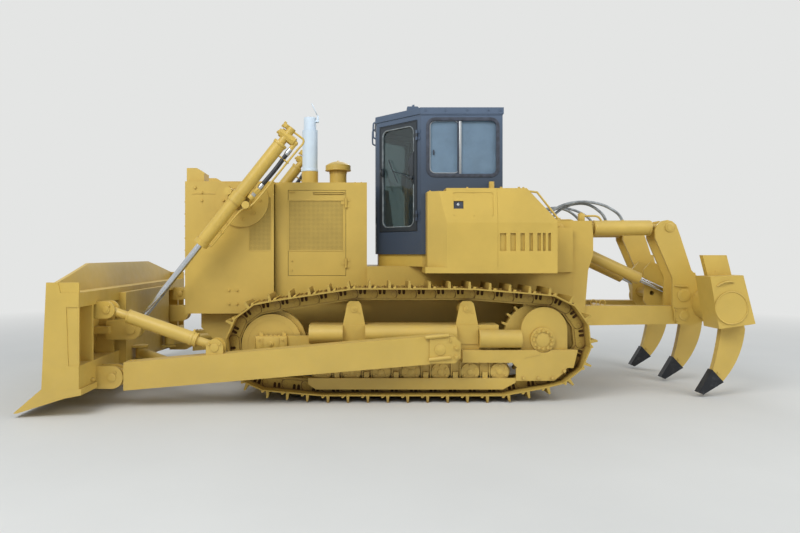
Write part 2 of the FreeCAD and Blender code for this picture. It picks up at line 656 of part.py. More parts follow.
def platform():
    """Deck over the tracks and the plinth that the cab stands on."""
    top = DECK_Z + DECK_THICK
    deck = plan_plate([(HOOD_REAR_X, -UPPER_HULL_HALF), (DECK_FRONT_X, -UPPER_HULL_HALF),
                       (DECK_FRONT_X, -FENDER_HALF), (TANK_REAR_X, -FENDER_HALF),
                       (TANK_REAR_X, -GUARD_HALF), (HULL_REAR_X, -GUARD_HALF),
                       (HULL_REAR_X, GUARD_HALF), (TANK_REAR_X, GUARD_HALF),
                       (TANK_REAR_X, FENDER_HALF), (DECK_FRONT_X, FENDER_HALF),
                       (DECK_FRONT_X, UPPER_HULL_HALF), (HOOD_REAR_X, UPPER_HULL_HALF)], DECK_Z, top)
    return joined(deck, plan_plate(cab_plan(CAB_WALL / 2), top, CAB_FLOOR_Z))


def rounded_block(x0, x1, y0, y1, z0, z1, radius):
    """A block with its four edges along Y rounded."""
    pieces = [box(x0 + radius, x1 - radius, y0, y1, z0, z1), box(x0, x1, y0, y1, z0 + radius, z1 - radius)]
    for x in (x0 + radius, x1 - radius):
        for z in (z0 + radius, z1 - radius):
            pieces.append(disc((x, z), radius, y0, y1))
    return joined(*pieces)


def chamfer_plate(u0, u1, w0, w1, z0, z1, radius=0.0):
    """A block in the cab's angled corner: u runs forward from the rear corner, w outwards."""
    if radius:
        block = rounded_block(u0, u1, -w1, -w0, z0, z1, radius)
    else:
        block = box(u0, u1, -w1, -w0, z0, z1)
    forward, _ = toward((CAB_CORNER_X, CAB_HALF), (CAB_FRONT_X, CAB_FRONT_HALF))
    block.rotate(V(0, 0, 0), V(0, 0, 1), math.degrees(math.atan2(forward[1], forward[0])))
    block.translate(V(CAB_CORNER_X, CAB_HALF, 0))
    return block


def door_width():
    """Length of the cab's angled side between its two posts."""
    _, reach = toward((CAB_CORNER_X, CAB_HALF), (CAB_FRONT_X, CAB_FRONT_HALF))
    return reach - 2 * DOOR_POST


def cab_openings(gap):
    """Windshield, rear window and right side window, each smaller by a gap all round."""
    x0, x1, z0, z1 = SIDE_WINDOW
    front_half = CAB_FRONT_HALF - 55 - gap
    rear_half = CAB_HALF - 250 - gap
    front = (CAB_FRONT_X, -front_half, front_half, DOOR_SILL_Z + 130 + gap, DOOR_HEAD_Z - gap)
    rear = (CAB_REAR_X, -rear_half, rear_half, z0 - 200 + gap, z1 - gap)
    side = (x0 + gap, x1 - gap, CAB_HALF, z0 + gap, z1 - gap)
    return front, rear, side


def cab_shell():
    walls = plan_plate(cab_plan(0), CAB_FLOOR_Z, CAB_EAVES_Z)
    room = plan_plate(cab_plan(CAB_WALL), CAB_FLOOR_Z + CAB_WALL, CAB_EAVES_Z + 1)
    front, rear, side = cab_openings(0)
    holes = [room]
    holes.append(box(front[0] - 1, front[0] + CAB_WALL + 1, *front[1:]))
    holes.append(box(rear[0] - CAB_WALL - 1, rear[0] + 1, *rear[1:]))
    window = rounded_block(side[0], side[1], side[2] - CAB_WALL - 1, side[2] + 1, side[3], side[4], WINDOW_CORNER)
    mullion = box(MULLION_X[0], MULLION_X[1], CAB_HALF - 26, CAB_HALF - 8, side[3] - 1, side[4] + 1)
    door = chamfer_plate(DOOR_POST, DOOR_POST + door_width(), -CAB_WALL - 8, 5, DOOR_SILL_Z, DOOR_HEAD_Z)
    holes += both(window, door)
    knuckles = [piece for moving, fixed in cab_hinges() for piece in fixed]
    return joined(without(walls, *holes), *both(mullion, *knuckles))


def cab_glass():
    front, rear, side = cab_openings(SEAT_GAP)
    inset = CAB_WALL / 2
    panes = [box(front[0] + inset, front[0] + inset + GLASS, *front[1:]),
             box(rear[0] - inset - GLASS, rear[0] - inset, *rear[1:])]
    x0, x1, y, z0, z1 = side
    panes += both(rounded_block(x0, x1, y - inset - GLASS, y - inset, z0, z1, WINDOW_CORNER))
    return panes


def cab_door():
    """Full-height door and its pane: closed in the right angled corner."""
    u0 = DOOR_POST + PANEL_GAP
    u1 = DOOR_POST + door_width() - PANEL_GAP
    z0 = DOOR_SILL_Z + PANEL_GAP
    z1 = DOOR_HEAD_Z - PANEL_GAP
    slab = chamfer_plate(u0, u1, -CAB_DOOR_THICK, 0, z0, z1)
    rim = 55.0
    window = chamfer_plate(u0 + rim, u1 - rim, -CAB_DOOR_THICK - 1, 1, z0 + rim, z1 - rim, WINDOW_CORNER)
    hinges = [moving for moving, fixed in cab_hinges()]
    inner = CAB_DOOR_THICK / 2
    pane = chamfer_plate(u0 + rim + SEAT_GAP, u1 - rim - SEAT_GAP, -inner - GLASS / 2,
                         -inner + GLASS / 2, z0 + rim + SEAT_GAP, z1 - rim - SEAT_GAP, WINDOW_CORNER)
    return joined(slab.cut(window), *hinges), pane


def cab_roof():
    """Flat roof with a lamp housing at each front corner."""
    x0, x1, y0, y1, height = ROOF_LAMP
    top = CAB_EAVES_Z + CAB_ROOF
    lamp = side_plate(((x0, top - 1), (x0, top + height), (x1 - 30, top + height), (x1, top + height - 30),
                       (x1, top - 1)), y0, y1)
    return joined(plan_plate(cab_plan(-12), CAB_EAVES_Z, top), *both(lamp))


def lean_slice(z0, z1, depth, out):
    """Outline of Y and Z along the tank's leaning side, from a depth inside it to outside."""
    def side(z):
        return FENDER_HALF - TANK_LEAN * (z - TANK_LEAN_Z) / (TANK_TOP_Z - TANK_LEAN_Z)

    return (side(z0) - depth, z0), (side(z1) - depth, z1), (FENDER_HALF + out, z1), (FENDER_HALF + out, z0)


def side_tank():
    """Tank beside the cab: its upper side leans inwards and holds a service panel over the louvres."""
    floor = DECK_Z + DECK_THICK
    outline = ((TANK_FRONT_X, floor), (TANK_FRONT_X, TANK_TOP_Z - TANK_STEP),
               (TANK_STEP_X, TANK_TOP_Z - TANK_STEP), (TANK_STEP_X, TANK_TOP_Z),
               (TANK_SLOPE_X, TANK_TOP_Z), (TANK_REAR_X, TANK_TAIL_Z), (TANK_REAR_X, floor))
    body = side_plate(outline, TANK_INNER, FENDER_HALF)
    start = (TANK_FRONT_X, FENDER_HALF - TANK_CORNER)
    unit, reach = toward(start, (TANK_STEP_X, FENDER_HALF))
    low = along(start, unit, -20)
    high = along(start, unit, reach + 20)
    cuts = [plan_plate([low, high, (low[0], high[1])], floor - 1, TANK_TOP_Z + 1),
            cross_plate(lean_slice(TANK_LEAN_Z, TANK_TOP_Z + 10, 0, 20), TANK_FRONT_X - 1, TANK_REAR_X + 1),
            cross_plate(lean_slice(TANK_LEAN_Z - 100, TANK_TOP_Z + 10, 3, 20), TANK_SEAM_X, TANK_SEAM_X + 4),
            box(TANK_SEAM_X, TANK_SEAM_X + 4, FENDER_HALF - 3, FENDER_HALF + 1, floor, TANK_LEAN_Z)]
    for (x0, x1, z0, z1), depth in ((TANK_PANEL, 5), (TANK_LATCH, 24)):
        cuts.append(cross_plate(lean_slice(z0, z1, depth, 20), x0, x1))
    for x, width in LOUVRES:
        cuts.append(box(x, x + width, FENDER_HALF - 25, FENDER_HALF + 1, *LOUVRE_Z))
    cap = post(TANK_CAP[0], TANK_CAP[1], 32, TANK_TOP_Z - 1, TANK_TOP_Z + 95)
    return joined(without(body, *cuts), cap)


def rear_housing():
    """The closed housing behind the cab, between the tanks."""
    floor = DECK_Z + DECK_THICK
    outline = ((CAB_REAR_X + 20, floor), (CAB_REAR_X + 20, REAR_TOP_Z), (TANK_SLOPE_X, REAR_TOP_Z),
               (TANK_REAR_X, TANK_TAIL_Z - 60), (TANK_REAR_X + 60, TANK_TAIL_Z - 60),
               (TANK_REAR_X + 60, REAR_STEP_Z), (HULL_REAR_X, REAR_STEP_Z), (HULL_REAR_X, floor))
    cheek = box(TANK_REAR_X, HULL_REAR_X, GUARD_HALF - 75, GUARD_HALF, floor, TANK_TAIL_Z - 60)
    return joined(side_plate(outline, -GUARD_HALF, GUARD_HALF), *both(cheek))


def radiator_guard():
    """Heavy side plates, top, floor and front frame round the radiator."""
    top = HOOD_TOP_Z
    shell = box(GUARD_FRONT_X, GUARD_REAR_X, -GUARD_HALF, GUARD_HALF, GUARD_FLOOR_Z, top)
    room = box(GUARD_FRONT_X + GUARD_PLATE, GUARD_REAR_X + 1, -GUARD_HALF + GUARD_PLATE,
               GUARD_HALF - GUARD_PLATE, GUARD_FLOOR_Z + GUARD_PLATE, top - GUARD_PLATE)
    x0, x1, z0, z1 = GUARD_MESH
    mesh = box(x0, x1, GUARD_HALF - DOOR_MESH_DEPTH, GUARD_HALF + 1, z0, z1)
    return without(shell, room, grille_block(0), *both(mesh))


def grille_block(gap):
    """The space of the grille in the front frame."""
    return box(GUARD_FRONT_X - 1 + gap, GUARD_FRONT_X + GUARD_PLATE + 1 - gap, -GUARD_HALF + 110 + gap,
               GUARD_HALF - 110 - gap, GUARD_FLOOR_Z + 150 + gap, HOOD_TOP_Z - 130 - gap)


def radiator_grille():
    """Frame with upright bars."""
    space = grille_block(SEAT_GAP).BoundBox
    depth = GUARD_PLATE - 2
    x0 = GUARD_FRONT_X + 1
    frame = box(x0, x0 + depth, space.YMin, space.YMax, space.ZMin, space.ZMax)
    edge = 45.0
    bars = 14
    opening = space.YLength - 2 * edge
    step = opening / bars
    slots = []
    for i in range(bars):
        y0 = space.YMin + edge + step * (i + 0.25)
        slots.append(box(x0 - 1, x0 + depth + 1, y0, y0 + step * 0.6, space.ZMin + edge, space.ZMax - edge))
    return without(frame, *slots)


def radiator_core():
    return box(GUARD_FRONT_X + 90, GUARD_FRONT_X + 260, -GUARD_HALF + GUARD_PLATE,
               GUARD_HALF - GUARD_PLATE, GUARD_FLOOR_Z + GUARD_PLATE, HOOD_TOP_Z - GUARD_PLATE - 60)


def hood():
    """Top and side panels round the engine, with an opening for each side door."""
    shell = box(GUARD_REAR_X, HOOD_REAR_X, -HOOD_HALF, HOOD_HALF, HULL_TOP_Z, HOOD_TOP_Z)
    room = box(GUARD_REAR_X - 1, HOOD_REAR_X - HOOD_PLATE, -HOOD_HALF + HOOD_PLATE,
               HOOD_HALF - HOOD_PLATE, HULL_TOP_Z - 1, HOOD_TOP_Z - HOOD_PLATE)
    opening = box(DOOR_FRONT_X, DOOR_REAR_X, HOOD_HALF - HOOD_PLATE - 1, HOOD_HALF + 1,
                  DOOR_BOTTOM_Z, DOOR_TOP_Z)
    cover = without(shell, room, *both(opening))
    base = post(EXHAUST_X, 0, EXHAUST_RADIUS + 8, HOOD_TOP_Z, EXHAUST_BASE_Z)
    knuckles = [piece for moving, fixed in engine_hinges() for piece in fixed]
    return joined(cover, base, *both(*knuckles))


def engine_door():
    panel = box(DOOR_FRONT_X + PANEL_GAP, DOOR_REAR_X - PANEL_GAP, HOOD_HALF - HOOD_PLATE, HOOD_HALF,
                DOOR_BOTTOM_Z + PANEL_GAP, DOOR_TOP_Z - PANEL_GAP)
    for (x0, x1, z0, z1), depth in ((DOOR_MESH, DOOR_MESH_DEPTH), (DOOR_SLOT, DOOR_SLOT_DEPTH)):
        panel = panel.cut(box(x0, x1, HOOD_HALF - depth, HOOD_HALF + 1, z0, z1))
    return joined(panel, *[moving for moving, fixed in engine_hinges()])


def engine_block():
    return box(DOOR_FRONT_X - 60, HOOD_REAR_X - 100, -340, 340, HULL_TOP_Z, HOOD_TOP_Z - 500)


def exhaust_stack():
    waist = EXHAUST_TOP_Z - 170
    pipe = joined(post(EXHAUST_X, 0, EXHAUST_RADIUS, EXHAUST_BASE_Z, waist),
                  post(EXHAUST_X, 0, EXHAUST_RADIUS - 20, waist, EXHAUST_TOP_Z))
    bore = post(EXHAUST_X, 0, EXHAUST_RADIUS - 20 - EXHAUST_WALL, EXHAUST_BASE_Z + 300, EXHAUST_TOP_Z + 1)
    return joined(pipe, rain_cap_bracket()).cut(bore)


def rain_cap_hinge():
    return (EXHAUST_X + EXHAUST_RADIUS + 4, EXHAUST_TOP_Z + 14)


def hinge(axis, to_panel, out, z):
    """One hinge: the panel's pin, knuckle and leaf, and the two knuckles and leaf of its frame."""
    x, y = axis

    def leaf(u0, u1, z0, z1):
        corners = []
        for u, w in ((u0, -HINGE_OUT), (u1, -HINGE_OUT), (u1, 8 - HINGE_OUT), (u0, 8 - HINGE_OUT)):
            corners.append((x + to_panel[0] * u + out[0] * w, y + to_panel[1] * u + out[1] * w))
        return plan_plate(corners, z0, z1)

    moving = joined(post(x, y, HINGE_KNUCKLE, z - 20, z + 20), post(x, y, HINGE_PIN, z - 60, z + 60),
                    leaf(0, HINGE_LEAF, z - 20, z + 20))
    fixed = []
    for z0 in (z - 60, z + 21):
        knuckle = joined(post(x, y, HINGE_KNUCKLE, z0, z0 + 39), leaf(-HINGE_LEAF + 10, 0, z0, z0 + 39))
        fixed.append(knuckle.cut(post(x, y, HINGE_PIN + PIN_FIT, z0 - 1, z0 + 40)))
    return moving, fixed


def cab_door_axis():
    forward, _ = toward((CAB_CORNER_X, CAB_HALF), (CAB_FRONT_X, CAB_FRONT_HALF))
    out = (forward[1], -forward[0])
    axis = (CAB_CORNER_X + forward[0] * DOOR_POST + out[0] * HINGE_OUT,
            CAB_HALF + forward[1] * DOOR_POST + out[1] * HINGE_OUT)
    return axis, forward, out


def cab_hinges():
    axis, forward, out = cab_door_axis()
    return [hinge(axis, forward, out, z) for z in (DOOR_SILL_Z + 190, DOOR_HEAD_Z - 190)]


def engine_door_axis():
    return (DOOR_REAR_X, HOOD_HALF + HINGE_OUT)


def engine_hinges():
    return [hinge(engine_door_axis(), (-1, 0), (0, 1), z) for z in (DOOR_BOTTOM_Z + 160, DOOR_TOP_Z - 160)]


def rain_cap():
    """Flap that stands open, turned up about its hinge behind the pipe."""
    x, z = rain_cap_hinge()
    flap = post(EXHAUST_X, 0, EXHAUST_RADIUS - 8, z - 4, z - 4 + RAIN_CAP_THICK)
    tab = box(EXHAUST_X + 60, x, -18, 18, z - 4, z - 4 + RAIN_CAP_THICK)
    knuckle = disc((x, z), 9, -30, 30)
    pin = disc((x, z), 5, -37, 37)
    cap = joined(flap, tab, knuckle, pin)
    cap.rotate(V(x, 0, z), V(0, 1, 0), RAIN_CAP_OPEN)
    return cap


def rain_cap_bracket():
    x, z = rain_cap_hinge()
    ear = box(x - 12, x + 12, 31, 37, EXHAUST_TOP_Z - 60, z + 12)
    bridge = box(EXHAUST_X + EXHAUST_RADIUS - 30, x + 12, -37, 37, EXHAUST_TOP_Z - 60, EXHAUST_TOP_Z - 40)
    return joined(bridge, *both(ear)).cut(disc((x, z), 5 + PIN_FIT, -40, 40))


def precleaner():
    """Air cleaner's bowl with a domed lid on its neck."""
    neck_top = HOOD_TOP_Z + PRECLEANER_NECK
    rim = HOOD_TOP_Z + PRECLEANER_RIM
    neck = post(PRECLEANER_X, 0, 113, HOOD_TOP_Z, neck_top)
    foot = post(PRECLEANER_X, 0, 150, HOOD_TOP_Z, HOOD_TOP_Z + 20)
    bowl = post(PRECLEANER_X, 0, PRECLEANER_RADIUS, neck_top, rim)
    dome_radius = (PRECLEANER_RADIUS ** 2 + PRECLEANER_DOME ** 2) / (2 * PRECLEANER_DOME)
    ball = Part.makeSphere(dome_radius, V(PRECLEANER_X, 0, rim + PRECLEANER_DOME - dome_radius))
    dome = ball.common(post(PRECLEANER_X, 0, PRECLEANER_RADIUS, rim - 1, rim + PRECLEANER_DOME + 1))
    return joined(neck, foot, bowl, dome)


def head_lamp():
    """Housing at the front top, with its lens in front."""
    y0 = GUARD_HALF - 330
    y1 = GUARD_HALF - 60
    x0 = GUARD_FRONT_X + 6
    outline = ((x0, HOOD_TOP_Z), (x0, HOOD_TOP_Z + LAMP_HEIGHT), (x0 + LAMP_LENGTH - 90, HOOD_TOP_Z + LAMP_HEIGHT),
               (x0 + LAMP_LENGTH, HOOD_TOP_Z + LAMP_HEIGHT - 60), (x0 + LAMP_LENGTH, HOOD_TOP_Z))
    housing = side_plate(outline, y0, y1)
    pocket = box(x0 - 1, x0 + 30, y0 + 25, y1 - 25, HOOD_TOP_Z + 30, HOOD_TOP_Z + LAMP_HEIGHT - 25)
    gap = SEAT_GAP
    lens = box(x0 + 4, x0 + 30 - gap, y0 + 25 + gap, y1 - 25 - gap, HOOD_TOP_Z + 30 + gap,
               HOOD_TOP_Z + LAMP_HEIGHT - 25 - gap)
    return housing.cut(pocket), lens


def operator_seat():
    x = 560
    floor = CAB_FLOOR_Z + CAB_WALL
    base = box(x - 150, x + 180, -180, 180, floor, floor + 300)
    cushion = box(x - 260, x + 260, -260, 260, floor + 300, floor + 420)
    back = side_plate(((x + 180, floor + 420), (x + 320, floor + 420), (x + 430, floor + 1050),
                       (x + 310, floor + 1050)), -250, 250)
    return joined(base, cushion, back)


def control_console():
    floor = CAB_FLOOR_Z + CAB_WALL
    dash = side_plate(((-190, floor), (-190, floor + 780), (-120, floor + 780), (-20, floor)), -200, 200)
    consoles = both(box(300, 800, 330, 470, floor, floor + 520))
    return [dash] + consoles


def moldboard():
    """Curved front plate with its back boxes, ribs, end plates and lugs."""
    half = BLADE_WIDTH / 2
    low, middle, high = BLADE_FRONT

    def front(shift):
        points = [V(x + shift, -half, z) for x, z in (low, middle, high)]
        return Part.Arc(*points).toShape()

    def corner(point, shift):
        return V(point[0] + shift, -half, point[1])

    def slab(shift0, shift1):
        edges = [front(shift0), Part.makeLine(corner(high, shift0), corner(high, shift1)), front(shift1),
                 Part.makeLine(corner(low, shift1), corner(low, shift0))]
        return Part.Face(Part.Wire(edges)).extrude(V(0, 2 * half, 0))

    skin = slab(0, BLADE_PLATE)
    behind = slab(BLADE_PLATE / 2, 900)
    back = BLADE_BACK_X
    blocks = [box(high[0] - 200, back, -half, half, 1150, 1300),
              box(low[0] - 200, back, -half, half, low[1], low[1] + 240),
              box(low[0] - 200, back, -1250, 1250, 780, 860)]
    for y in (-1700, -1080, -360, 360, 1080, 1700):
        blocks.append(box(low[0] - 200, back, y - 20, y + 20, low[1], 1250))
    blocks.append(box(high[0] - 200, BACK_BOX_X, -BACK_BOX_HALF, BACK_BOX_HALF, 380, 1240))
    stiff = joined(*blocks).common(behind)
    face_top = low[0] + 50
    outline = ((back, low[1]), (back, BLADE_END_Z), (face_top, BLADE_END_Z), low)
    wear = (low, (face_top, BLADE_END_Z), (face_top + 105, BLADE_END_Z), (face_top + 207, BLADE_END_Z - 260),
            (face_top + 240, low[1]))
    ends = both(side_plate(outline, half - END_PLATE, half - WEAR_PLATE), side_plate(wear, half - WEAR_PLATE, half))
    shoulder = half - BLADE_SHOULDER
    trim = both(cross_plate(((half + 1, BLADE_END_Z), (shoulder, BLADE_TOP_Z), (shoulder, BLADE_TOP_Z + 200),
                             (half + 1, BLADE_TOP_Z + 200)), high[0] - 300, back + 300))
    body = without(joined(skin, stiff, *ends), *trim)
    lugs = []
    # Lug pairs on the back: centre, Y, half gap, radius
    for at, y, gap, radius in ((LIFT_EYE, LIFT_Y, 60, LUG_RADIUS + 20),
                               (BRACE_TOP, BRACE_Y, 56, LUG_RADIUS),
                               (ARM_PIN, BRACE_Y, 62, LUG_RADIUS + 30)):
        for y0 in (y - gap - LUG_THICK, y + gap):
            ear = joined(disc(at, radius, y0, y0 + LUG_THICK),
                         box(back - 60, at[0], y0, y0 + LUG_THICK, at[1] - radius, at[1] + radius))
            lugs.append(ear)
    cap = LIFT_Y + 60 + LUG_THICK
    lugs.append(disc(LIFT_EYE, LIFT_EYE_PIN, cap, cap + 14))
    x, y, z = DIAGONAL_EYE
    gap = DIAGONAL_RADIUS + LUG_GAP
    for z0 in (z - gap - LUG_THICK, z + gap):
        lugs.append(joined(post(x, y, LUG_RADIUS - 15, z0, z0 + LUG_THICK),
                           box(BACK_BOX_X - 20, x, y - LUG_RADIUS + 15, y + LUG_RADIUS - 15, z0, z0 + LUG_THICK)))
    lugs = both(*lugs)
    board = joined(body, *lugs)
    pins = both(disc(BRACE_TOP, LUG_PIN + PIN_FIT, BRACE_Y - 150, BRACE_Y + 150),
                disc(ARM_PIN, LUG_PIN + 10 + PIN_FIT, BRACE_Y - 150, BRACE_Y + 150),
                post(x, y, LUG_PIN + PIN_FIT, z - gap - LUG_THICK - 1, z + gap + LUG_THICK + 1))
    return without(board, *pins)


def cutting_edge():
    """Flat edge along the foot of the blade, with a deeper end bit at each end."""
    half = BLADE_WIDTH / 2
    x, z = BLADE_FRONT[0]
    top = z - SEAT_GAP
    lip = (EDGE_TIP[0] + BLADE_PLATE, EDGE_TIP[1])
    edge = side_plate(((x, top), EDGE_TIP, lip, (x + BLADE_PLATE, top)), -half, half)
    bit = side_plate(((x, top), EDGE_TIP, lip, EDGE_UNDER, (EDGE_HEEL_X, EDGE_UNDER[1] + 32), (EDGE_HEEL_X, top)),
                     half - END_BIT, half)
    return joined(edge, *both(bit))


def push_arm():
    """Box beam with the bearing cap of the trunnion behind and the eye of its pin in front."""
    (cap_x0, cap_x1), (cap_z0, cap_z1) = ARM_CAP
    x0 = TRUNNION_X + cap_x0
    x1 = TRUNNION_X + cap_x1
    z0 = TRUNNION_Z + cap_z0
    z1 = TRUNNION_Z + cap_z1
    outline = ((ARM_FRONT_X, ARM_FRONT_Z[0]), (TRUNNION_X, ARM_REAR_Z[0]), (x1 - 60, z0), (x1, z0 + 60),
               (x1, z1 - 60), (x1 - 60, z1), (TRUNNION_X, ARM_REAR_Z[1]), (ARM_FRONT_X, ARM_FRONT_Z[1]))
    cap = ((x0, z0), (x1 - 60, z0), (x1, z0 + 60), (x1, z1 - 60), (x1 - 60, z1), (x0, z1))
    trunnion = (TRUNNION_X, TRUNNION_Z)
    beam = joined(side_plate(outline, ARM_INNER, ARM_OUTER),
                  side_plate(cap, ARM_OUTER, ARM_OUTER + ARM_CAP_THICK))
    beam = beam.cut(disc(trunnion, TRUNNION_RADIUS + PIN_FIT, ARM_INNER - 1, ARM_OUTER + ARM_CAP_THICK + 1))
    eye = joined(disc(ARM_PIN, LUG_RADIUS, BRACE_Y - 60, BRACE_Y + 60),
                 box(ARM_PIN[0], ARM_FRONT_X + 1, BRACE_Y - 60, BRACE_Y + 60, ARM_PIN[1] - 80, ARM_PIN[1] + 80))
    pin = disc(ARM_PIN, LUG_PIN + 10, BRACE_Y - 100, BRACE_Y + 100)
    lugs = []
    for y0 in (BRACE_Y - 56 - LUG_THICK, BRACE_Y + 56):
        lugs.append(disc(BRACE_FOOT, LUG_RADIUS, y0, y0 + LUG_THICK))
        lugs.append(box(BRACE_FOOT[0] - LUG_RADIUS, BRACE_FOOT[0] + LUG_RADIUS, y0, y0 + LUG_THICK,
                        BRACE_FOOT[1] - LUG_RADIUS - 30, BRACE_FOOT[1]))
    foot = V(*DIAGONAL_FOOT)
    tip = V(*DIAGONAL_EYE)
    diagonal = bar(foot - (tip - foot).normalize() * 60, tip, DIAGONAL_RADIUS)
    x, y, z = DIAGONAL_EYE
    reach = DIAGONAL_RADIUS + LUG_GAP + LUG_THICK
    diagonal = joined(diagonal, post(x, y, LUG_RADIUS - 20, z - DIAGONAL_RADIUS, z + DIAGONAL_RADIUS),
                      post(x, y, LUG_PIN, z - reach, z + reach))
    arm = joined(beam, eye, pin, *lugs, diagonal)
    return arm.cut(disc(BRACE_FOOT, LUG_PIN + PIN_FIT, BRACE_Y - 150, BRACE_Y + 150))


def brace_eyes(half):
    """The two eyes of a blade brace with their pins."""
    eyes = []
    for at in (BRACE_TOP, BRACE_FOOT):
        eyes.append(disc(at, LUG_RADIUS - 30, BRACE_Y - half, BRACE_Y + half))
        eyes.append(disc(at, LUG_PIN, BRACE_Y - 56 - LUG_THICK, BRACE_Y + 56 + LUG_THICK))
    return eyes


def blade_brace():
    """Tube brace of the left side, drawn on the right: a turnbuckle between two eyes."""
    half = 50
    unit, reach = toward(BRACE_TOP, BRACE_FOOT)
    tube = bar(place(along(BRACE_TOP, unit, 230), BRACE_Y), place(along(BRACE_TOP, unit, reach - 230), BRACE_Y),
               BRACE_RADIUS)
    screw = bar(place(along(BRACE_TOP, unit, 60), BRACE_Y), place(along(BRACE_TOP, unit, reach - 60), BRACE_Y), 48)
    return joined(tube, screw, *brace_eyes(half))


def tilt_brace():
    """Tilt cylinder of the right side: barrel below, rod above, held at mid stroke."""
    half = 50
    unit, reach = toward(BRACE_TOP, BRACE_FOOT)
    barrel = bar(place(along(BRACE_TOP, unit, 360), BRACE_Y), place(along(BRACE_TOP, unit, reach - 112), BRACE_Y),
                 BRACE_RADIUS + 13)
    neck = bar(place(along(BRACE_TOP, unit, reach - 120), BRACE_Y), place(BRACE_FOOT, BRACE_Y), half - 2)
    gland = bar(place(along(BRACE_TOP, unit, 340), BRACE_Y), place(along(BRACE_TOP, unit, 420), BRACE_Y),
                BRACE_RADIUS + 21)
    rod = bar(place(along(BRACE_TOP, unit, 60), BRACE_Y), place(along(BRACE_TOP, unit, 400), BRACE_Y), 45)
    return joined(barrel, neck, gland, rod, *brace_eyes(half))


def barrel_tube(start, unit, y, back, front, radius, bore, rod, gland, wall):
    """Barrel of a cylinder along a direction of X and Z, closed behind and with a gland in front."""
    outside = bar(place(along(start, unit, back), y), place(along(start, unit, front), y), radius)
    head = bar(place(along(start, unit, front - gland), y), place(along(start, unit, front), y), radius + 10)
    room = bar(place(along(start, unit, back + wall), y),
               place(along(start, unit, front - gland), y), bore)
    hole = bar(place(along(start, unit, front - gland - 1), y), place(along(start, unit, front + 1), y),
               rod + PIN_FIT)
    return joined(outside, head), [room, hole]


def piston_rod(eye, unit, y, length, radius, bore, eye_radius, eye_half, piston):
    """Rod from its eye into the barrel, with the piston on its inner end."""
    rod = bar(place(eye, y), place(along(eye, unit, length), y), radius)
    head = bar(place(along(eye, unit, length - piston), y), place(along(eye, unit, length), y), bore - 0.5)
    end = disc(eye, eye_radius, y - eye_half, y + eye_half)
    return joined(rod, head, end)


def lift_barrel():
    """Barrel of the blade's lift cylinder, hung near its middle on two trunnions."""
    unit, _ = toward(LIFT_TRUNNION, LIFT_EYE)
    shell, holes = barrel_tube(LIFT_TRUNNION, unit, LIFT_Y, -LIFT_ABOVE, LIFT_BELOW, LIFT_BARREL, LIFT_BORE,
                               LIFT_ROD, 60, 30)
    collar = bar(place(along(LIFT_TRUNNION, unit, -60), LIFT_Y), place(along(LIFT_TRUNNION, unit, 60), LIFT_Y),
                 LIFT_BARREL + 14)
    side = (unit[1], -unit[0])
    hub_y = YOKE_SEAT + LUG_GAP
    hub = disc(LIFT_TRUNNION, YOKE_HUB, hub_y, hub_y + YOKE_HUB_THICK)
    pin = disc(LIFT_TRUNNION, YOKE_PIN, GUARD_HALF + 60, hub_y + 1)
    pieces = [shell, collar, hub, pin]
    reach = LIFT_BARREL + 14 + YOKE_BAR - 6
    for out in (-reach, reach):
        pieces.append(disc(along(LIFT_TRUNNION, side, out), YOKE_BAR, hub_y, LIFT_Y + 40))
    # The manifold on the upper end: its neck, two blocks across it and the elbow of the hose
    top = along(LIFT_TRUNNION, unit, -LIFT_ABOVE)
    radius, length = LIFT_NECK
    pieces.append(bar(place(along(top, unit, -length), LIFT_Y), place(along(top, unit, 1), LIFT_Y), radius))
    for beyond, front, rear, radius in LIFT_BLOCKS:
        middle = along(top, unit, -beyond)
        pieces.append(bar(place(along(middle, side, front), LIFT_Y), place(along(middle, side, -rear), LIFT_Y), radius))
    radius, drop = LIFT_ELBOW
    elbow = along(along(top, unit, -LIFT_BLOCKS[0][0]), side, -LIFT_BLOCKS[0][2])
    pieces.append(Part.makeSphere(LIFT_BLOCKS[0][3], place(elbow, LIFT_Y)))
    pieces.append(bar(place(elbow, LIFT_Y), place(along(elbow, unit, drop), LIFT_Y), radius))
    return without(joined(*pieces), *holes)


def lift_rod():
    back, _ = toward(LIFT_EYE, LIFT_TRUNNION)
    return piston_rod(LIFT_EYE, back, LIFT_Y, LIFT_ROD_LENGTH, LIFT_ROD, LIFT_BORE, 62, LIFT_HALF, 60)


def cylinder_yoke():
    """Round plate on the radiator guard, with the boss that the lift cylinder's yoke turns in."""
    radius, thick = YOKE_PLATE
    plate = disc(LIFT_TRUNNION, radius, GUARD_HALF, GUARD_HALF + thick)
    boss = disc(LIFT_TRUNNION, YOKE_BOSS, GUARD_HALF, YOKE_SEAT)
    plate = plate.common(box(GUARD_FRONT_X + 20, GUARD_REAR_X - 20, GUARD_HALF, GUARD_HALF + thick,
                             GUARD_FLOOR_Z, HOOD_TOP_Z - 20))
    return joined(plate, boss).cut(disc(LIFT_TRUNNION, YOKE_PIN + PIN_FIT, GUARD_HALF + 59, YOKE_SEAT + 1))


def plate_middle(first):
    """Middle and half gap between a plate of the ripper and the next one outwards."""
    inner = RIPPER_PLATES[first][1]
    outer = RIPPER_PLATES[first + 1][0]
    return (inner + outer) / 2, (outer - inner) / 2


def tilt_front():
    """Front pin of the upper link, which makes a parallelogram with the lower one."""
    return (TILT_REAR[0] - LINK_REAR[0] + LINK_FRONT[0], TILT_REAR[1] - LINK_REAR[1] + LINK_FRONT[1])


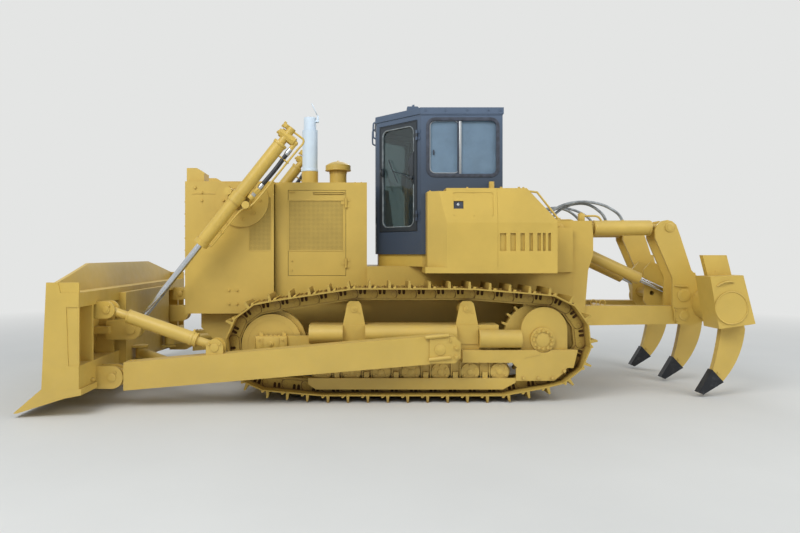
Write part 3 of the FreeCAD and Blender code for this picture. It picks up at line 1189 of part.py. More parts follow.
def ripper_bracket():
    outline = ((LOWER_REAR_X, 700), (2270, 760), (2310, 1000), (2350, 1500), (2413, 1700), (2413, 1950),
               (2395, BRACKET_TOP_Z), (BRACKET_FRONT_X, BRACKET_TOP_Z), (BRACKET_FRONT_X, REAR_STEP_Z), (HULL_REAR_X, REAR_STEP_Z),
               (HULL_REAR_X, HULL_TOP_Z), (LOWER_REAR_X, HULL_TOP_Z))
    half = RIPPER_PLATES[-1][1]
    plates = [side_plate(outline, y0, y1) for y0, y1 in RIPPER_PLATES]
    backs = [box(LOWER_REAR_X, LOWER_REAR_X + BRACKET_PLATE, -half, half, 700, HULL_TOP_Z),
             box(HULL_REAR_X, HULL_REAR_X + BRACKET_PLATE, -half, half, HULL_TOP_Z, REAR_STEP_Z),
             box(LOWER_REAR_X, HULL_REAR_X + BRACKET_PLATE, -half, half, HULL_TOP_Z - BRACKET_PLATE,
                 HULL_TOP_Z)]
    holes = ripper_holes(LINK_FRONT, tilt_front(), RIP_LIFT_FRONT, RIP_LIFT_PIN)
    return without(joined(*both(*plates), *backs), *both(*holes))


def ripper_holes(link, tilt, lift, lift_pin):
    """The holes of the plates for the pins of the lower link, the upper link and the lift."""
    outer = RIPPER_PLATES[2][1] + 1
    middle = RIPPER_PLATES[1][0] - 1
    return [disc(link, LINK_PIN + PIN_FIT, middle, outer), disc(tilt, TILT_PIN + PIN_FIT, middle, outer),
            disc(lift, lift_pin + PIN_FIT, RIPPER_PLATES[0][0] - 1, RIPPER_PLATES[1][1] + 1)]


def link_arm():
    """One lower arm with the pins at its two ends."""
    y, gap = plate_middle(1)
    half = gap - LUG_GAP
    web = side_plate(((LINK_FRONT[0], LINK_FRONT[1] - LINK_FRONT_EYE), (LINK_REAR[0], LINK_REAR[1] - LINK_REAR_EYE),
                      (LINK_REAR[0], LINK_REAR[1] + LINK_REAR_EYE),
                      (LINK_FRONT[0], LINK_FRONT[1] + LINK_FRONT_EYE)), y - half, y + half)
    pieces = [web, disc(LINK_FRONT, LINK_FRONT_EYE, y - half, y + half),
              disc(LINK_REAR, LINK_REAR_EYE, y - half, y + half)]
    for at in (LINK_FRONT, LINK_REAR):
        pieces.append(disc(at, LINK_PIN, RIPPER_PLATES[1][0], RIPPER_PLATES[2][1]))
    return joined(*pieces)


def ripper_link():
    """Two lower arms joined by a cross tube."""
    y, gap = plate_middle(1)
    unit, reach = toward(LINK_FRONT, LINK_REAR)
    cross = disc(along(LINK_FRONT, unit, reach * 0.45), LINK_TUBE, -y, y)
    return joined(*both(link_arm()), cross)


def tilt_link():
    """Upper link: the ripper's tilt cylinder, held at one length."""
    y, gap = plate_middle(1)
    half = gap - LUG_GAP
    front = tilt_front()
    unit, reach = toward(front, TILT_REAR)
    run0, run1 = TILT_BARREL_RUN
    barrel = bar(place(along(front, unit, run0), y), place(along(front, unit, run1), y), TILT_BARREL)
    neck = bar(place(front, y), place(along(front, unit, run0), y), TILT_EYE - 15)
    rod = bar(place(along(front, unit, run1), y), place(TILT_REAR, y), TILT_ROD)
    pieces = [barrel, neck, rod]
    for at in (front, TILT_REAR):
        pieces.append(disc(at, TILT_EYE, y - half, y + half))
        pieces.append(disc(at, TILT_PIN, RIPPER_PLATES[1][0], RIPPER_PLATES[2][1]))
    return joined(*pieces)


def ripper_lift_barrel():
    y, gap = plate_middle(0)
    unit, _ = toward(RIP_LIFT_FRONT, RIP_LIFT_REAR)
    outside = bar(place(RIP_LIFT_FRONT, y), place(along(RIP_LIFT_FRONT, unit, RIP_LIFT_LENGTH), y),
                  RIP_LIFT_BARREL)
    gland = 40
    inside = RIP_LIFT_LENGTH - gland
    room = bar(place(along(RIP_LIFT_FRONT, unit, 66), y), place(along(RIP_LIFT_FRONT, unit, inside), y),
               RIP_LIFT_BORE)
    hole = bar(place(along(RIP_LIFT_FRONT, unit, inside - 1), y),
               place(along(RIP_LIFT_FRONT, unit, RIP_LIFT_LENGTH + 1), y), RIP_LIFT_ROD + PIN_FIT)
    eye = disc(RIP_LIFT_FRONT, RIP_LIFT_BARREL, y - gap + LUG_GAP, y + gap - LUG_GAP)
    pin = disc(RIP_LIFT_FRONT, RIP_LIFT_PIN, RIPPER_PLATES[0][0], RIPPER_PLATES[1][1])
    return without(joined(outside, eye, pin), room, hole)


def ripper_lift_rod():
    y, gap = plate_middle(0)
    back, _ = toward(RIP_LIFT_REAR, RIP_LIFT_FRONT)
    return piston_rod(RIP_LIFT_REAR, back, y, RIP_LIFT_ROD_LENGTH, RIP_LIFT_ROD, RIP_LIFT_BORE, RIP_LIFT_EYE,
                      gap - 0.8, 40)


def shank_edges(gap):
    """Outline of a shank in X and Z, with a gap round its straight upper part."""
    lean = -141.0 / 565.0
    rise = SHANK_TOP_Z - 810
    front_top = (3800 + lean * rise - gap, SHANK_TOP_Z)
    rear_top = (4085 + lean * rise + gap, SHANK_TOP_Z)
    return front_top, rear_top, (4085 + gap, 810.0), (3800 - gap, 810.0)


def shank(y):
    y0 = y - SHANK_THICK / 2
    front_top, rear_top, rear, front = shank_edges(0)

    def at(point):
        return V(point[0], y0, point[1])

    edges = [Part.makeLine(at(front_top), at(rear_top)), Part.makeLine(at(rear_top), at(rear)),
             Part.Arc(at(rear), at(SHANK_BACK), at(SHANK_HEEL)).toShape(),
             Part.makeLine(at(SHANK_HEEL), at(SHANK_TOE)),
             Part.Arc(at(SHANK_TOE), at(SHANK_BELLY), at(front)).toShape(),
             Part.makeLine(at(front), at(front_top))]
    return Part.Face(Part.Wire(edges)).extrude(V(0, SHANK_THICK, 0))


def shank_point(y):
    """Cast point seated on the foot of the shank."""
    unit, reach = toward(SHANK_TOE, SHANK_HEEL)
    seat = along(SHANK_TOE, (unit[1], -unit[0]), SEAT_GAP)
    outline = (along(seat, unit, -14), along(seat, unit, reach + 10), *POINT_TIP)
    return side_plate(outline, y - SHANK_THICK / 2 - 12, y + SHANK_THICK / 2 + 12)


def ripper_beam():
    """Cross tube with its plates, the shank holders and the bush of the towing hole."""
    plates = [side_plate(BEAM_INNER_PLATE, *RIPPER_PLATES[0])]
    plates += [side_plate(BEAM_OUTER_PLATE, y0, y1) for y0, y1 in RIPPER_PLATES[1:]]
    tube = disc(BEAM_AXIS, BEAM_TUBE, -BEAM_HALF, BEAM_HALF)
    holders = []
    slots = []
    slot = SHANK_THICK / 2 + SEAT_GAP
    for y, inner, outer in SHANKS:
        holders.append(side_plate(HOLDER_OUTLINE, inner, outer))
        slots.append(side_plate(shank_edges(SEAT_GAP), y - slot, y + slot))
    face = SHANKS[-1][2]
    covers = both(disc(BEAM_COVER, BEAM_TUBE - 20, face - 1, face + 8))
    bush = disc(TOW_HOLE, TOW_BUSH, -RIPPER_PLATES[0][1], RIPPER_PLATES[0][1])
    beam = joined(tube, *both(*plates), *holders, *covers, bush)
    holes = both(*ripper_holes(LINK_REAR, TILT_REAR, RIP_LIFT_REAR, 0)[:2])
    tow = disc(TOW_HOLE, TOW_RADIUS, -RIPPER_PLATES[0][1] - 1, RIPPER_PLATES[0][1] + 1)
    beam = without(beam, *slots, *holes, tow)
    cap = disc(RIP_LIFT_REAR, RIP_LIFT_PIN + 10, RIPPER_PLATES[0][0] - 12, RIPPER_PLATES[0][0])
    return joined(beam, *both(cap))


def rail(points, radius):
    """A bent round rail through the points."""
    pieces = [bar(a, b, radius) for a, b in zip(points, points[1:])]
    pieces += [Part.makeSphere(radius, point) for point in points[1:-1]]
    return joined(*pieces)


def grab_rail():
    """Rail over the rear slope of a tank, its two feet seated on the slope."""
    y = FENDER_HALF - 75
    points = [V(x, y, z) for x, z in GRAB_RAIL]
    return rail(points, 12).cut(side_tank().translated(V(SEAT_GAP, 0, SEAT_GAP)))


def nodes():
    pins = pins_of_chain()
    right_track = track(pins)
    wheels = sprocket(pins)
    frame = track_frame()
    places = roller_places()
    rollers = [bottom_roller(at, SEAT_GAP) for at in places[1:-1]]
    rollers += [bottom_roller(at, WHEEL_CLEARANCE) for at in (places[0], places[-1])]
    rollers += [carrier_roller(x) for x in CARRIER_X]
    door, pane = cab_door()
    housing, lens = head_lamp()
    tank = side_tank()
    panel = engine_door()
    barrel = lift_barrel()
    rod = lift_rod()
    tilt = tilt_link()
    rip_barrel = ripper_lift_barrel()
    rip_rod = ripper_lift_rod()
    return {
        "track_right": [right_track],
        "track_left": [mirrored(right_track)],
        "sprockets": both(*wheels),
        "final_drives": both(final_drive()),
        "idlers": both(idler()),
        "track_rollers": both(*rollers),
        "track_frames": both(frame),
        "main_frame": [main_frame()],
        "platform": [platform()],
        "cab_shell": [cab_shell()],
        "cab_glass": cab_glass(),
        "cab_roof": [cab_roof()],
        "cab_door_right": [door],
        "cab_door_left": [mirrored(door)],
        "door_glass_right": [pane],
        "door_glass_left": [mirrored(pane)],
        "side_tanks": both(tank),
        "rear_housing": [rear_housing()],
        "radiator_guard": [radiator_guard()],
        "radiator_grille": [radiator_grille()],
        "radiator_core": [radiator_core()],
        "hood": [hood()],
        "engine_door_right": [panel],
        "engine_door_left": [mirrored(panel)],
        "engine_block": [engine_block()],
        "exhaust_stack": [exhaust_stack()],
        "rain_cap": [rain_cap()],
        "precleaner": [precleaner()],
        "head_lamps": both(housing),
        "lamp_lenses": both(lens),
        "operator_seat": [operator_seat()],
        "control_console": control_console(),
        "moldboard": [moldboard()],
        "cutting_edge": [cutting_edge()],
        "push_arms": both(push_arm()),
        "brace_left": [mirrored(blade_brace())],
        "brace_right": [tilt_brace()],
        "cylinder_yokes": both(cylinder_yoke()),
        "lift_barrel_right": [barrel],
        "lift_barrel_left": [mirrored(barrel)],
        "lift_rod_right": [rod],
        "lift_rod_left": [mirrored(rod)],
        "ripper_bracket": [ripper_bracket()],
        "ripper_link": [ripper_link()],
        "ripper_tilt_right": [tilt],
        "ripper_tilt_left": [mirrored(tilt)],
        "ripper_lift_barrel_right": [rip_barrel],
        "ripper_lift_barrel_left": [mirrored(rip_barrel)],
        "ripper_lift_rod_right": [rip_rod],
        "ripper_lift_rod_left": [mirrored(rip_rod)],
        "ripper_beam": [ripper_beam()],
        "ripper_shanks": [shank(row[0]) for row in SHANKS],
        "shank_points": [shank_point(row[0]) for row in SHANKS],
        "grab_rails": both(grab_rail()),
    }


def write_all(shapes):
    os.makedirs("parts", exist_ok=True)
    for name, pieces in shapes.items():
        solids = [solid for piece in pieces for solid in piece.Solids]
        Part.makeCompound(solids).exportStep("parts/%s.step" % name)


write_all(nodes())
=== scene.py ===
import math

import bmesh
import bpy
from bpy.props import FloatProperty, FloatVectorProperty, PointerProperty
from mathutils import Matrix, Vector


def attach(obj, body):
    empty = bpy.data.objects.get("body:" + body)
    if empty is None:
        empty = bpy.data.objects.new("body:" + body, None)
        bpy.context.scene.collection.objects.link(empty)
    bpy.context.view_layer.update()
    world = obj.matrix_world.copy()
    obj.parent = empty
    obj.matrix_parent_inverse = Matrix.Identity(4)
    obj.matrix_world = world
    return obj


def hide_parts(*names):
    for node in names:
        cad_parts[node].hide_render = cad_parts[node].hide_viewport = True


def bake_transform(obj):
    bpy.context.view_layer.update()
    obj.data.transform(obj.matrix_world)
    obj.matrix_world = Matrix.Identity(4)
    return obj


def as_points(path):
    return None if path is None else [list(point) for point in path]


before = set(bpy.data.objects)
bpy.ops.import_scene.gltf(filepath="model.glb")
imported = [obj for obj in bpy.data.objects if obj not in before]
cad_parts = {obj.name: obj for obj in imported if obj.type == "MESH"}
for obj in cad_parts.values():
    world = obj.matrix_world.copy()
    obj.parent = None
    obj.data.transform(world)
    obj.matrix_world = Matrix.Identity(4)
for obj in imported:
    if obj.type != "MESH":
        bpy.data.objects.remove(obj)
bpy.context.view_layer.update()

bl_info = {
    "name": "Crawler Bulldozer",
    "version": (1, 0, 0),
    "blender": (4, 5, 0),
    "location": "View3D > Sidebar > Bulldozer",
    "description": "Dresses the crawler bulldozer with its finishes, fasteners, hoses and trim",
    "category": "Add Mesh",
}

MM = 0.001
SIDES = (("left", -1), ("right", 1))


def linear(code):
    """An sRGB hex colour as linear red, green and blue."""
    parts = [int(code[i:i + 2], 16) / 255 for i in (1, 3, 5)]
    return tuple(c / 12.92 if c <= 0.04045 else ((c + 0.055) / 1.055) ** 2.4 for c in parts)


def colour(name, code, about):
    return FloatVectorProperty(name=name, description=about, subtype="COLOR", size=3, min=0.0, max=1.0,
                               default=linear(code))


class BulldozerColours(bpy.types.PropertyGroup):
    body: colour("Body enamel", "#CDAD51", "Sprayed yellow enamel of the machine")
    body_dust: colour("Dust", "#C3AC78", "Dry dust that lies on the enamel")
    # Colour that corners and recesses darken towards: partly dried earth, partly painted shade
    earth_and_shade: colour("Earth", "#6E4A16", "Dried earth in the recesses of the tracks")
    cab: colour("Cab enamel", "#526278", "Dark enamel of the cab")
    glass: colour("Window glass", "#B7D0E4", "Tint of the windows")
    stack: colour("Exhaust paint", "#D6E6F4", "Pale heat-proof paint of the exhaust")
    black: colour("Black enamel", "#26282B", "Matt black enamel of the grille and core")
    points: colour("Wear steel", "#25272B", "Dark cast steel of the ripper points")
    floor: colour("Floor", "#D5D5D2", "Pale plain floor")


class BulldozerSizes(bpy.types.PropertyGroup):
    bolt_across: FloatProperty(name="Bolt head", description="Width of a large bolt head across its flats",
                               default=0.036, unit="LENGTH", subtype="DISTANCE")
    bolt_small: FloatProperty(name="Small bolt head", description="Width of a panel bolt head across its flats",
                              default=0.022, unit="LENGTH", subtype="DISTANCE")
    seal_width: FloatProperty(name="Window seal", description="Width of the rubber round a fixed window",
                              default=0.030, unit="LENGTH", subtype="DISTANCE")
    grain: FloatProperty(name="Spray grain", description="Size of the ripples in the sprayed enamel",
                         default=0.012, unit="LENGTH", subtype="DISTANCE")


def colours():
    return bpy.context.scene.bulldozer_colours


def sizes():
    return bpy.context.scene.bulldozer_sizes


# Materials

def add(tree, kind, inputs=None, **settings):
    """A shader node of a kind: inputs hold values or the sockets linked to them."""
    made = tree.nodes.new("ShaderNode" + kind)
    for name, value in settings.items():
        setattr(made, name, value)
    for name, value in (inputs or {}).items():
        if isinstance(value, bpy.types.NodeSocket):
            tree.links.new(value, made.inputs[name])
        else:
            made.inputs[name].default_value = value
    return made


def new_material(name):
    """An empty material with its output, or the one that exists already."""
    made = bpy.data.materials.new(name)
    made.use_nodes = True
    made.node_tree.nodes.clear()
    return made, made.node_tree


def finish_material(tree, shader):
    output = add(tree, "OutputMaterial")
    tree.links.new(shader.outputs[0], output.inputs["Surface"])


def rgba(value):
    return (*value, 1.0)


def noise(tree, place, size, detail=3.0, rough=0.55):
    """A noise whose patches are about size metres across."""
    return add(tree, "TexNoise", {"Vector": place, "Scale": 1.0 / size, "Detail": detail, "Roughness": rough})


def span(tree, value, low, high, to_low=0.0, to_high=1.0):
    return add(tree, "MapRange", {"Value": value, "From Min": low, "From Max": high, "To Min": to_low,
                                  "To Max": to_high}).outputs["Result"]


def mix(tree, factor, a, b, blend="MIX"):
    """Mix of two colours: sockets or plain colours."""
    made = add(tree, "Mix", data_type="RGBA", blend_type=blend)
    for index, value in ((0, factor), (6, a), (7, b)):
        if isinstance(value, bpy.types.NodeSocket):
            tree.links.new(value, made.inputs[index])
        else:
            made.inputs[index].default_value = value if index == 0 else rgba(value)
    return made.outputs[2]


def times(tree, a, b, operation="MULTIPLY"):
    made = add(tree, "Math", operation=operation)
    for index, value in enumerate((a, b)):
        if isinstance(value, bpy.types.NodeSocket):
            tree.links.new(value, made.inputs[index])
        else:
            made.inputs[index].default_value = value
    return made.outputs[0]


def bump(tree, height, distance, strength=1.0):
    return add(tree, "Bump", {"Height": height, "Distance": distance, "Strength": strength}).outputs["Normal"]


def sprayed_enamel(name, base, dust, dust_share, earth_and_shade, shade_and_earth_share, rough=0.42, foot_shade=1.0):
    """Alkyd enamel sprayed over steel: an even coat with a faint ripple, duller and paler where dust
    has settled, brown where earth has stayed in the corners, and deeper by foot_tone at the cab's foot,
    where the weather has bleached it less."""
    made, tree = new_material(name)
    place = add(tree, "TexCoord").outputs["Object"]
    broad = noise(tree, place, 0.55, 4.0).outputs["Fac"]
    blotch = noise(tree, place, 0.09, 6.0, 0.62).outputs["Fac"]
    grain = noise(tree, place, sizes().grain, 2.0).outputs["Fac"]
    height = add(tree, "SeparateXYZ", {"Vector": place}).outputs["Z"]
    upward = add(tree, "SeparateXYZ", {"Vector": add(tree, "NewGeometry").outputs["Normal"]}).outputs["Z"]
    settled = times(tree, span(tree, upward, 0.3, 0.95), 0.55)
    low = span(tree, height, 1.5, 0.0, 0.0, 0.3)
    cover = times(tree, times(tree, settled, low, "ADD"), dust_share)
    cover = times(tree, cover, span(tree, blotch, 0.3, 0.7, 0.35, 1.25))
    tint = mix(tree, span(tree, broad, 0.35, 0.65), tuple(c * 0.93 for c in base), tuple(c * 1.05 for c in base))
    # Painted shade: the coat is made darker towards the bottom, fully below 2.7 m and fading out by 3.45 m
    if foot_shade < 1.0:
        tint = mix(tree, span(tree, height, 2.7, 3.45), tuple(c * foot_shade for c in base), tint)
    painted = mix(tree, cover, tint, dust)
    # Painted shade: ambient occlusion darkens corners, creases and recesses towards the earth colour, in blotches; on
    # the yellow enamels this is partly earth and partly painted shade, and on the cab, door, stack and black enamels,
    # whose earth colour is a dark grey, it is painted shade
    corner = add(tree, "AmbientOcclusion", {"Distance": 0.11}, samples=4).outputs["AO"]
    shade_and_earth_mask = times(tree, span(tree, corner, 0.75, 0.15, 0.0, 1.0), shade_and_earth_share)
    shade_and_earth_mask = times(tree, shade_and_earth_mask, span(tree, blotch, 0.35, 0.6, 0.35, 1.0))
    surface = mix(tree, shade_and_earth_mask, painted, earth_and_shade)
    roughness = times(tree, span(tree, blotch, 0.3, 0.75, rough - 0.07, rough + 0.12), times(tree, cover, 0.3), "ADD")
    shader = add(tree, "BsdfPrincipled", {"Base Color": surface, "Roughness": roughness, "IOR": 1.5,
                                          "Normal": bump(tree, grain, 0.0006, 0.5)})
    finish_material(tree, shader)
    return made


def chain_steel(name, coat, earth_and_shade):
    """Forged and rolled track steel, painted over with the machine: the paint is worn off and the
    brown of dried earth and rust shows in the recesses."""
    made, tree = new_material(name)
    place = add(tree, "TexCoord").outputs["Object"]
    clod = noise(tree, place, 0.11, 7.0, 0.65).outputs["Fac"]
    speck = noise(tree, place, 0.018, 4.0, 0.6).outputs["Fac"]
    # Painted shade: ambient occlusion, broken up by clods of noise, turns corners and recesses earth brown; partly
    # dried earth and rust, partly painted shade
    corner = add(tree, "AmbientOcclusion", {"Distance": 0.09}, samples=4).outputs["AO"]
    shade_and_earth_mask = span(tree, times(tree, corner, times(tree, clod, 0.45), "ADD"), 1.16, 0.56)
    worn = times(tree, span(tree, speck, 0.52, 0.66), 0.35)
    painted = mix(tree, worn, coat, tuple(c * 0.45 for c in coat))
    surface = mix(tree, shade_and_earth_mask, painted, earth_and_shade)
    shader = add(tree, "BsdfPrincipled", {"Base Color": surface, "IOR": 1.5,
                                          "Roughness": span(tree, clod, 0.3, 0.7, 0.52, 0.85),
                                          "Normal": bump(tree, speck, 0.002, 0.6)})
    finish_material(tree, shader)
    return made


def hard_chrome(name):
    """Hard chromed, ground and polished piston rod, with a thin film of oil and dust."""
    made, tree = new_material(name)
    place = add(tree, "TexCoord").outputs["Object"]
    film = noise(tree, place, 0.05, 5.0).outputs["Fac"]
    shader = add(tree, "BsdfPrincipled", {"Base Color": rgba(linear("#C9CDD2")), "Metallic": 1.0,
                                          "Roughness": span(tree, film, 0.35, 0.7, 0.12, 0.32)})
    finish_material(tree, shader)
    return made


def cast_wear_steel(name, base):
    """Cast wear steel with a dark foundry skin, lighter where the ground has rubbed it."""
    made, tree = new_material(name)
    place = add(tree, "TexCoord").outputs["Object"]
    skin = noise(tree, place, 0.012, 5.0).outputs["Fac"]
    rubbed = noise(tree, place, 0.08, 6.0, 0.7).outputs["Fac"]
    surface = mix(tree, span(tree, rubbed, 0.5, 0.75, 0.0, 0.5), base, linear("#5E6064"))
    shader = add(tree, "BsdfPrincipled", {"Base Color": surface, "Metallic": 0.35,
                                          "Roughness": span(tree, skin, 0.3, 0.7, 0.4, 0.65),
                                          "Normal": bump(tree, skin, 0.0012, 0.6)})
    finish_material(tree, shader)
    return made


def window_glass(name, tint, clear, film_share=0.12, film_tone="#AEB6BF"):
    """Toughened, lightly tinted flat glass with a thin film of dust."""
    made, tree = new_material(name)
    place = add(tree, "TexCoord").outputs["Object"]
    film = noise(tree, place, 0.2, 5.0).outputs["Fac"]
    pane = add(tree, "BsdfPrincipled", {"Base Color": rgba(tint), "Roughness": 0.03, "IOR": 1.5,
                                        "Transmission Weight": clear})
    dust = add(tree, "BsdfDiffuse", {"Color": rgba(linear(film_tone))})
    both = add(tree, "MixShader", {"Fac": span(tree, film, 0.3, 0.75, film_share * 0.7, film_share)})
    tree.links.new(pane.outputs[0], both.inputs[1])
    tree.links.new(dust.outputs[0], both.inputs[2])
    finish_material(tree, both)
    return made


def moulded_rubber(name, code="#17181A", rough=0.6):
    """Extruded or moulded black rubber, dull with a fine grain."""
    made, tree = new_material(name)
    place = add(tree, "TexCoord").outputs["Object"]
    grain = noise(tree, place, 0.006, 3.0).outputs["Fac"]
    base = linear(code)
    surface = mix(tree, span(tree, noise(tree, place, 0.07, 4.0).outputs["Fac"], 0.4, 0.7), base,
                  tuple(min(1.0, c * 2.2) for c in base))
    shader = add(tree, "BsdfPrincipled", {"Base Color": surface, "Roughness": rough, "IOR": 1.52,
                                          "Normal": bump(tree, grain, 0.0004, 0.4)})
    finish_material(tree, shader)
    return made


def woven_cloth(name, code):
    """Woven polyester seat cloth: threads drawn 3 mm apart, coarser than the real 1 mm, so that they show."""
    made, tree = new_material(name)
    place = add(tree, "TexCoord").outputs["Object"]
    thread = 0.003
    warp = add(tree, "TexWave", {"Vector": place, "Scale": 0.31 / thread / 2}, bands_direction="X")
    weft = add(tree, "TexWave", {"Vector": place, "Scale": 0.31 / thread / 2}, bands_direction="Z")
    weave = times(tree, warp.outputs["Fac"], weft.outputs["Fac"])
    base = linear(code)
    surface = mix(tree, weave, base, tuple(min(1.0, c * 1.8) for c in base))
    shader = add(tree, "BsdfPrincipled", {"Base Color": surface, "Roughness": 0.85, "Sheen Weight": 0.4,
                                          "Normal": bump(tree, weave, 0.0006, 0.6)})
    finish_material(tree, shader)
    return made


def finned_core(name, base):
    """Radiator core: rows of thin fins between tubes, in matt black."""
    made, tree = new_material(name)
    place = add(tree, "TexCoord").outputs["Object"]
    fins = add(tree, "TexWave", {"Vector": place, "Scale": 0.31 / 0.016}, bands_direction="Z").outputs["Fac"]
    surface = mix(tree, fins, base, tuple(min(1.0, c * 2.5) for c in base))
    shader = add(tree, "BsdfPrincipled", {"Base Color": surface, "Roughness": 0.7,
                                          "Normal": bump(tree, fins, 0.004, 0.8)})
    finish_material(tree, shader)
    return made


def window_shade_fill(name, base):
    """Dried earth and old grease packed into the pockets of the chain: dark, rough and crumbly."""
    made, tree = new_material(name)
    place = add(tree, "TexCoord").outputs["Object"]
    crumb = noise(tree, place, 0.02, 6.0, 0.65).outputs["Fac"]
    dark = tuple(c * 0.3 for c in base)
    surface = mix(tree, span(tree, crumb, 0.45, 0.7), dark, tuple(c * 0.8 for c in base))
    shader = add(tree, "BsdfPrincipled", {"Base Color": surface, "Roughness": 0.95,
                                          "Normal": bump(tree, crumb, 0.003, 0.8)})
    finish_material(tree, shader)
    return made


HOLE_SPACING = 0.016


def punched_sheet(name, base):
    """Steel sheet with punched round holes, sprayed with the machine."""
    made, tree = new_material(name)
    place = add(tree, "TexCoord").outputs["Object"]
    cells = add(tree, "VectorMath", {0: place, 1: (1 / HOLE_SPACING,) * 3}, operation="MULTIPLY")
    cell = add(tree, "VectorMath", {0: cells.outputs[0]}, operation="FRACTION")
    centred = add(tree, "VectorMath", {0: cell.outputs[0], 1: (0.5, 0.0, 0.5)}, operation="SUBTRACT")
    flat = add(tree, "VectorMath", {0: centred.outputs[0], 1: (1.0, 0.0, 1.0)}, operation="MULTIPLY")
    reach = add(tree, "VectorMath", {0: flat.outputs[0]}, operation="LENGTH").outputs["Value"]
    hole = span(tree, reach, 0.36, 0.3)
    cloud = noise(tree, place, 0.2, 4.0).outputs["Fac"]
    tone = mix(tree, span(tree, cloud, 0.35, 0.65), tuple(c * 0.8 for c in base), tuple(c * 0.9 for c in base))
    # Painted shade: the punched holes are coloured 0.42 of the base, as dark as the shaded inside behind them; the
    # sheet between them is 0.8 to 0.9 of the base
    surface = mix(tree, hole, tone, tuple(c * 0.42 for c in base))
    shader = add(tree, "BsdfPrincipled", {"Base Color": surface, "Roughness": 0.6, "IOR": 1.5,
                                          "Normal": bump(tree, hole, 0.002, -0.6)})
    finish_material(tree, shader)
    return made


def zinc_plate(name):
    """Zinc-plated steel of crimped hose ends and small fittings."""
    made, tree = new_material(name)
    place = add(tree, "TexCoord").outputs["Object"]
    cloud = noise(tree, place, 0.02, 4.0).outputs["Fac"]
    shader = add(tree, "BsdfPrincipled", {"Base Color": rgba(linear("#B9BCBE")), "Metallic": 1.0,
                                          "Roughness": span(tree, cloud, 0.3, 0.7, 0.25, 0.45)})
    finish_material(tree, shader)
    return made


FINISHES = {}


def make_finishes():
    c = colours()
    body = tuple(c.body)
    dust = tuple(c.body_dust)
    earth_and_shade = tuple(c.earth_and_shade)
    FINISHES.update({
        "body_enamel": sprayed_enamel("body_enamel", body, dust, 0.55, earth_and_shade, 0.45),
        "undercarriage_enamel": sprayed_enamel("undercarriage_enamel", body, dust, 0.9, earth_and_shade, 0.85, 0.55),
        "track_steel": chain_steel("track_steel", tuple(v * 0.8 for v in body), earth_and_shade),
        # The cab's enamel darkens towards its foot, and towards a dark grey in its corners: painted shade
        "cab_enamel": sprayed_enamel("cab_enamel", tuple(c.cab), linear("#7D8494"), 0.35, linear("#2A2D33"), 0.4,
                                     0.38, 0.55),
        # Painted shade: the doors and their fittings take a darker copy of the cab's paint, with near-black corners
        "door_shaded_enamel": sprayed_enamel("door_shaded_enamel", linear("#2E353C"), linear("#5E6670"), 0.3, linear("#181A1D"),
                                      0.4, 0.34),
        # The stack's and the black enamel's corners darken towards dark greys: painted shade
        "stack_paint": sprayed_enamel("stack_paint", tuple(c.stack), linear("#A9AEB2"), 0.4, linear("#5B5753"), 0.5, 0.5),
        "black_enamel": sprayed_enamel("black_enamel", tuple(c.black), linear("#6B6558"), 0.35, linear("#111214"), 0.5, 0.6),
        "console_plastic": moulded_rubber("console_plastic", "#34373C", 0.5),
        "window_glass": window_glass("window_glass", tuple(c.glass), 0.9, 0.62, "#86A0B6"),
        "door_pane": window_glass("door_pane", linear("#93A5A6"), 0.95, 0.1, "#5C6A6E"),
        "lamp_glass": window_glass("lamp_glass", linear("#E4E9EC"), 0.75),
        "rod_chrome": hard_chrome("rod_chrome"),
        "wear_steel": cast_wear_steel("wear_steel", tuple(c.points)),
        "seal_rubber": moulded_rubber("seal_rubber", "#2B303B", 0.55),
        "hose_rubber": moulded_rubber("hose_rubber", "#1B1C1E", 0.5),
        "grey_hose": moulded_rubber("grey_hose", "#6E7274", 0.3),
        "pale_seal": moulded_rubber("pale_seal", "#70777A", 0.5),
        "window_shade_fill": window_shade_fill("window_shade_fill", earth_and_shade),
        "shoe_steel": chain_steel("shoe_steel", body, earth_and_shade),
        "punched_sheet": punched_sheet("punched_sheet", body),
        "seat_cloth": woven_cloth("seat_cloth", "#2F3338"),
        "radiator_core": finned_core("radiator_core", tuple(c.black)),
        "zinc_plate": zinc_plate("zinc_plate"),
    })


NODE_FINISH = {
    "track_left": "track_steel", "track_right": "track_steel",
    "sprockets": "undercarriage_enamel", "final_drives": "body_enamel", "idlers": "undercarriage_enamel",
    "track_rollers": "undercarriage_enamel", "track_frames": "body_enamel", "main_frame": "undercarriage_enamel",
    "cab_shell": "cab_enamel", "cab_roof": "cab_enamel", "cab_door_left": "door_shaded_enamel",
    "cab_door_right": "door_shaded_enamel", "cab_glass": "window_glass", "door_glass_left": "door_pane",
    "door_glass_right": "door_pane", "radiator_grille": "black_enamel", "radiator_core": "radiator_core",
    "engine_block": "black_enamel", "exhaust_stack": "stack_paint", "rain_cap": "stack_paint",
    "lamp_lenses": "lamp_glass", "operator_seat": "seat_cloth", "control_console": "console_plastic",
    "lift_rod_left": "rod_chrome", "lift_rod_right": "rod_chrome", "ripper_lift_rod_left": "rod_chrome",
    "ripper_lift_rod_right": "rod_chrome", "shank_points": "wear_steel",
}


# Modelling

def block(bm, x0, x1, y0, y1, z0, z1, rounding=0.0):
    """A block between two corners in millimetres, with rounded edges."""
    verts = bmesh.ops.create_cube(bm, size=1.0)["verts"]
    size = Vector((abs(x1 - x0), abs(y1 - y0), abs(z1 - z0)))
    bmesh.ops.scale(bm, vec=size, verts=verts)
    bmesh.ops.translate(bm, vec=Vector((x0 + x1, y0 + y1, z0 + z1)) / 2, verts=verts)
    if rounding:
        edges = list({e for v in verts for e in v.link_edges})
        verts = bmesh.ops.bevel(bm, geom=edges, offset=rounding, segments=2, profile=0.5, affect="EDGES",
                                material=-1)["verts"]
    return verts


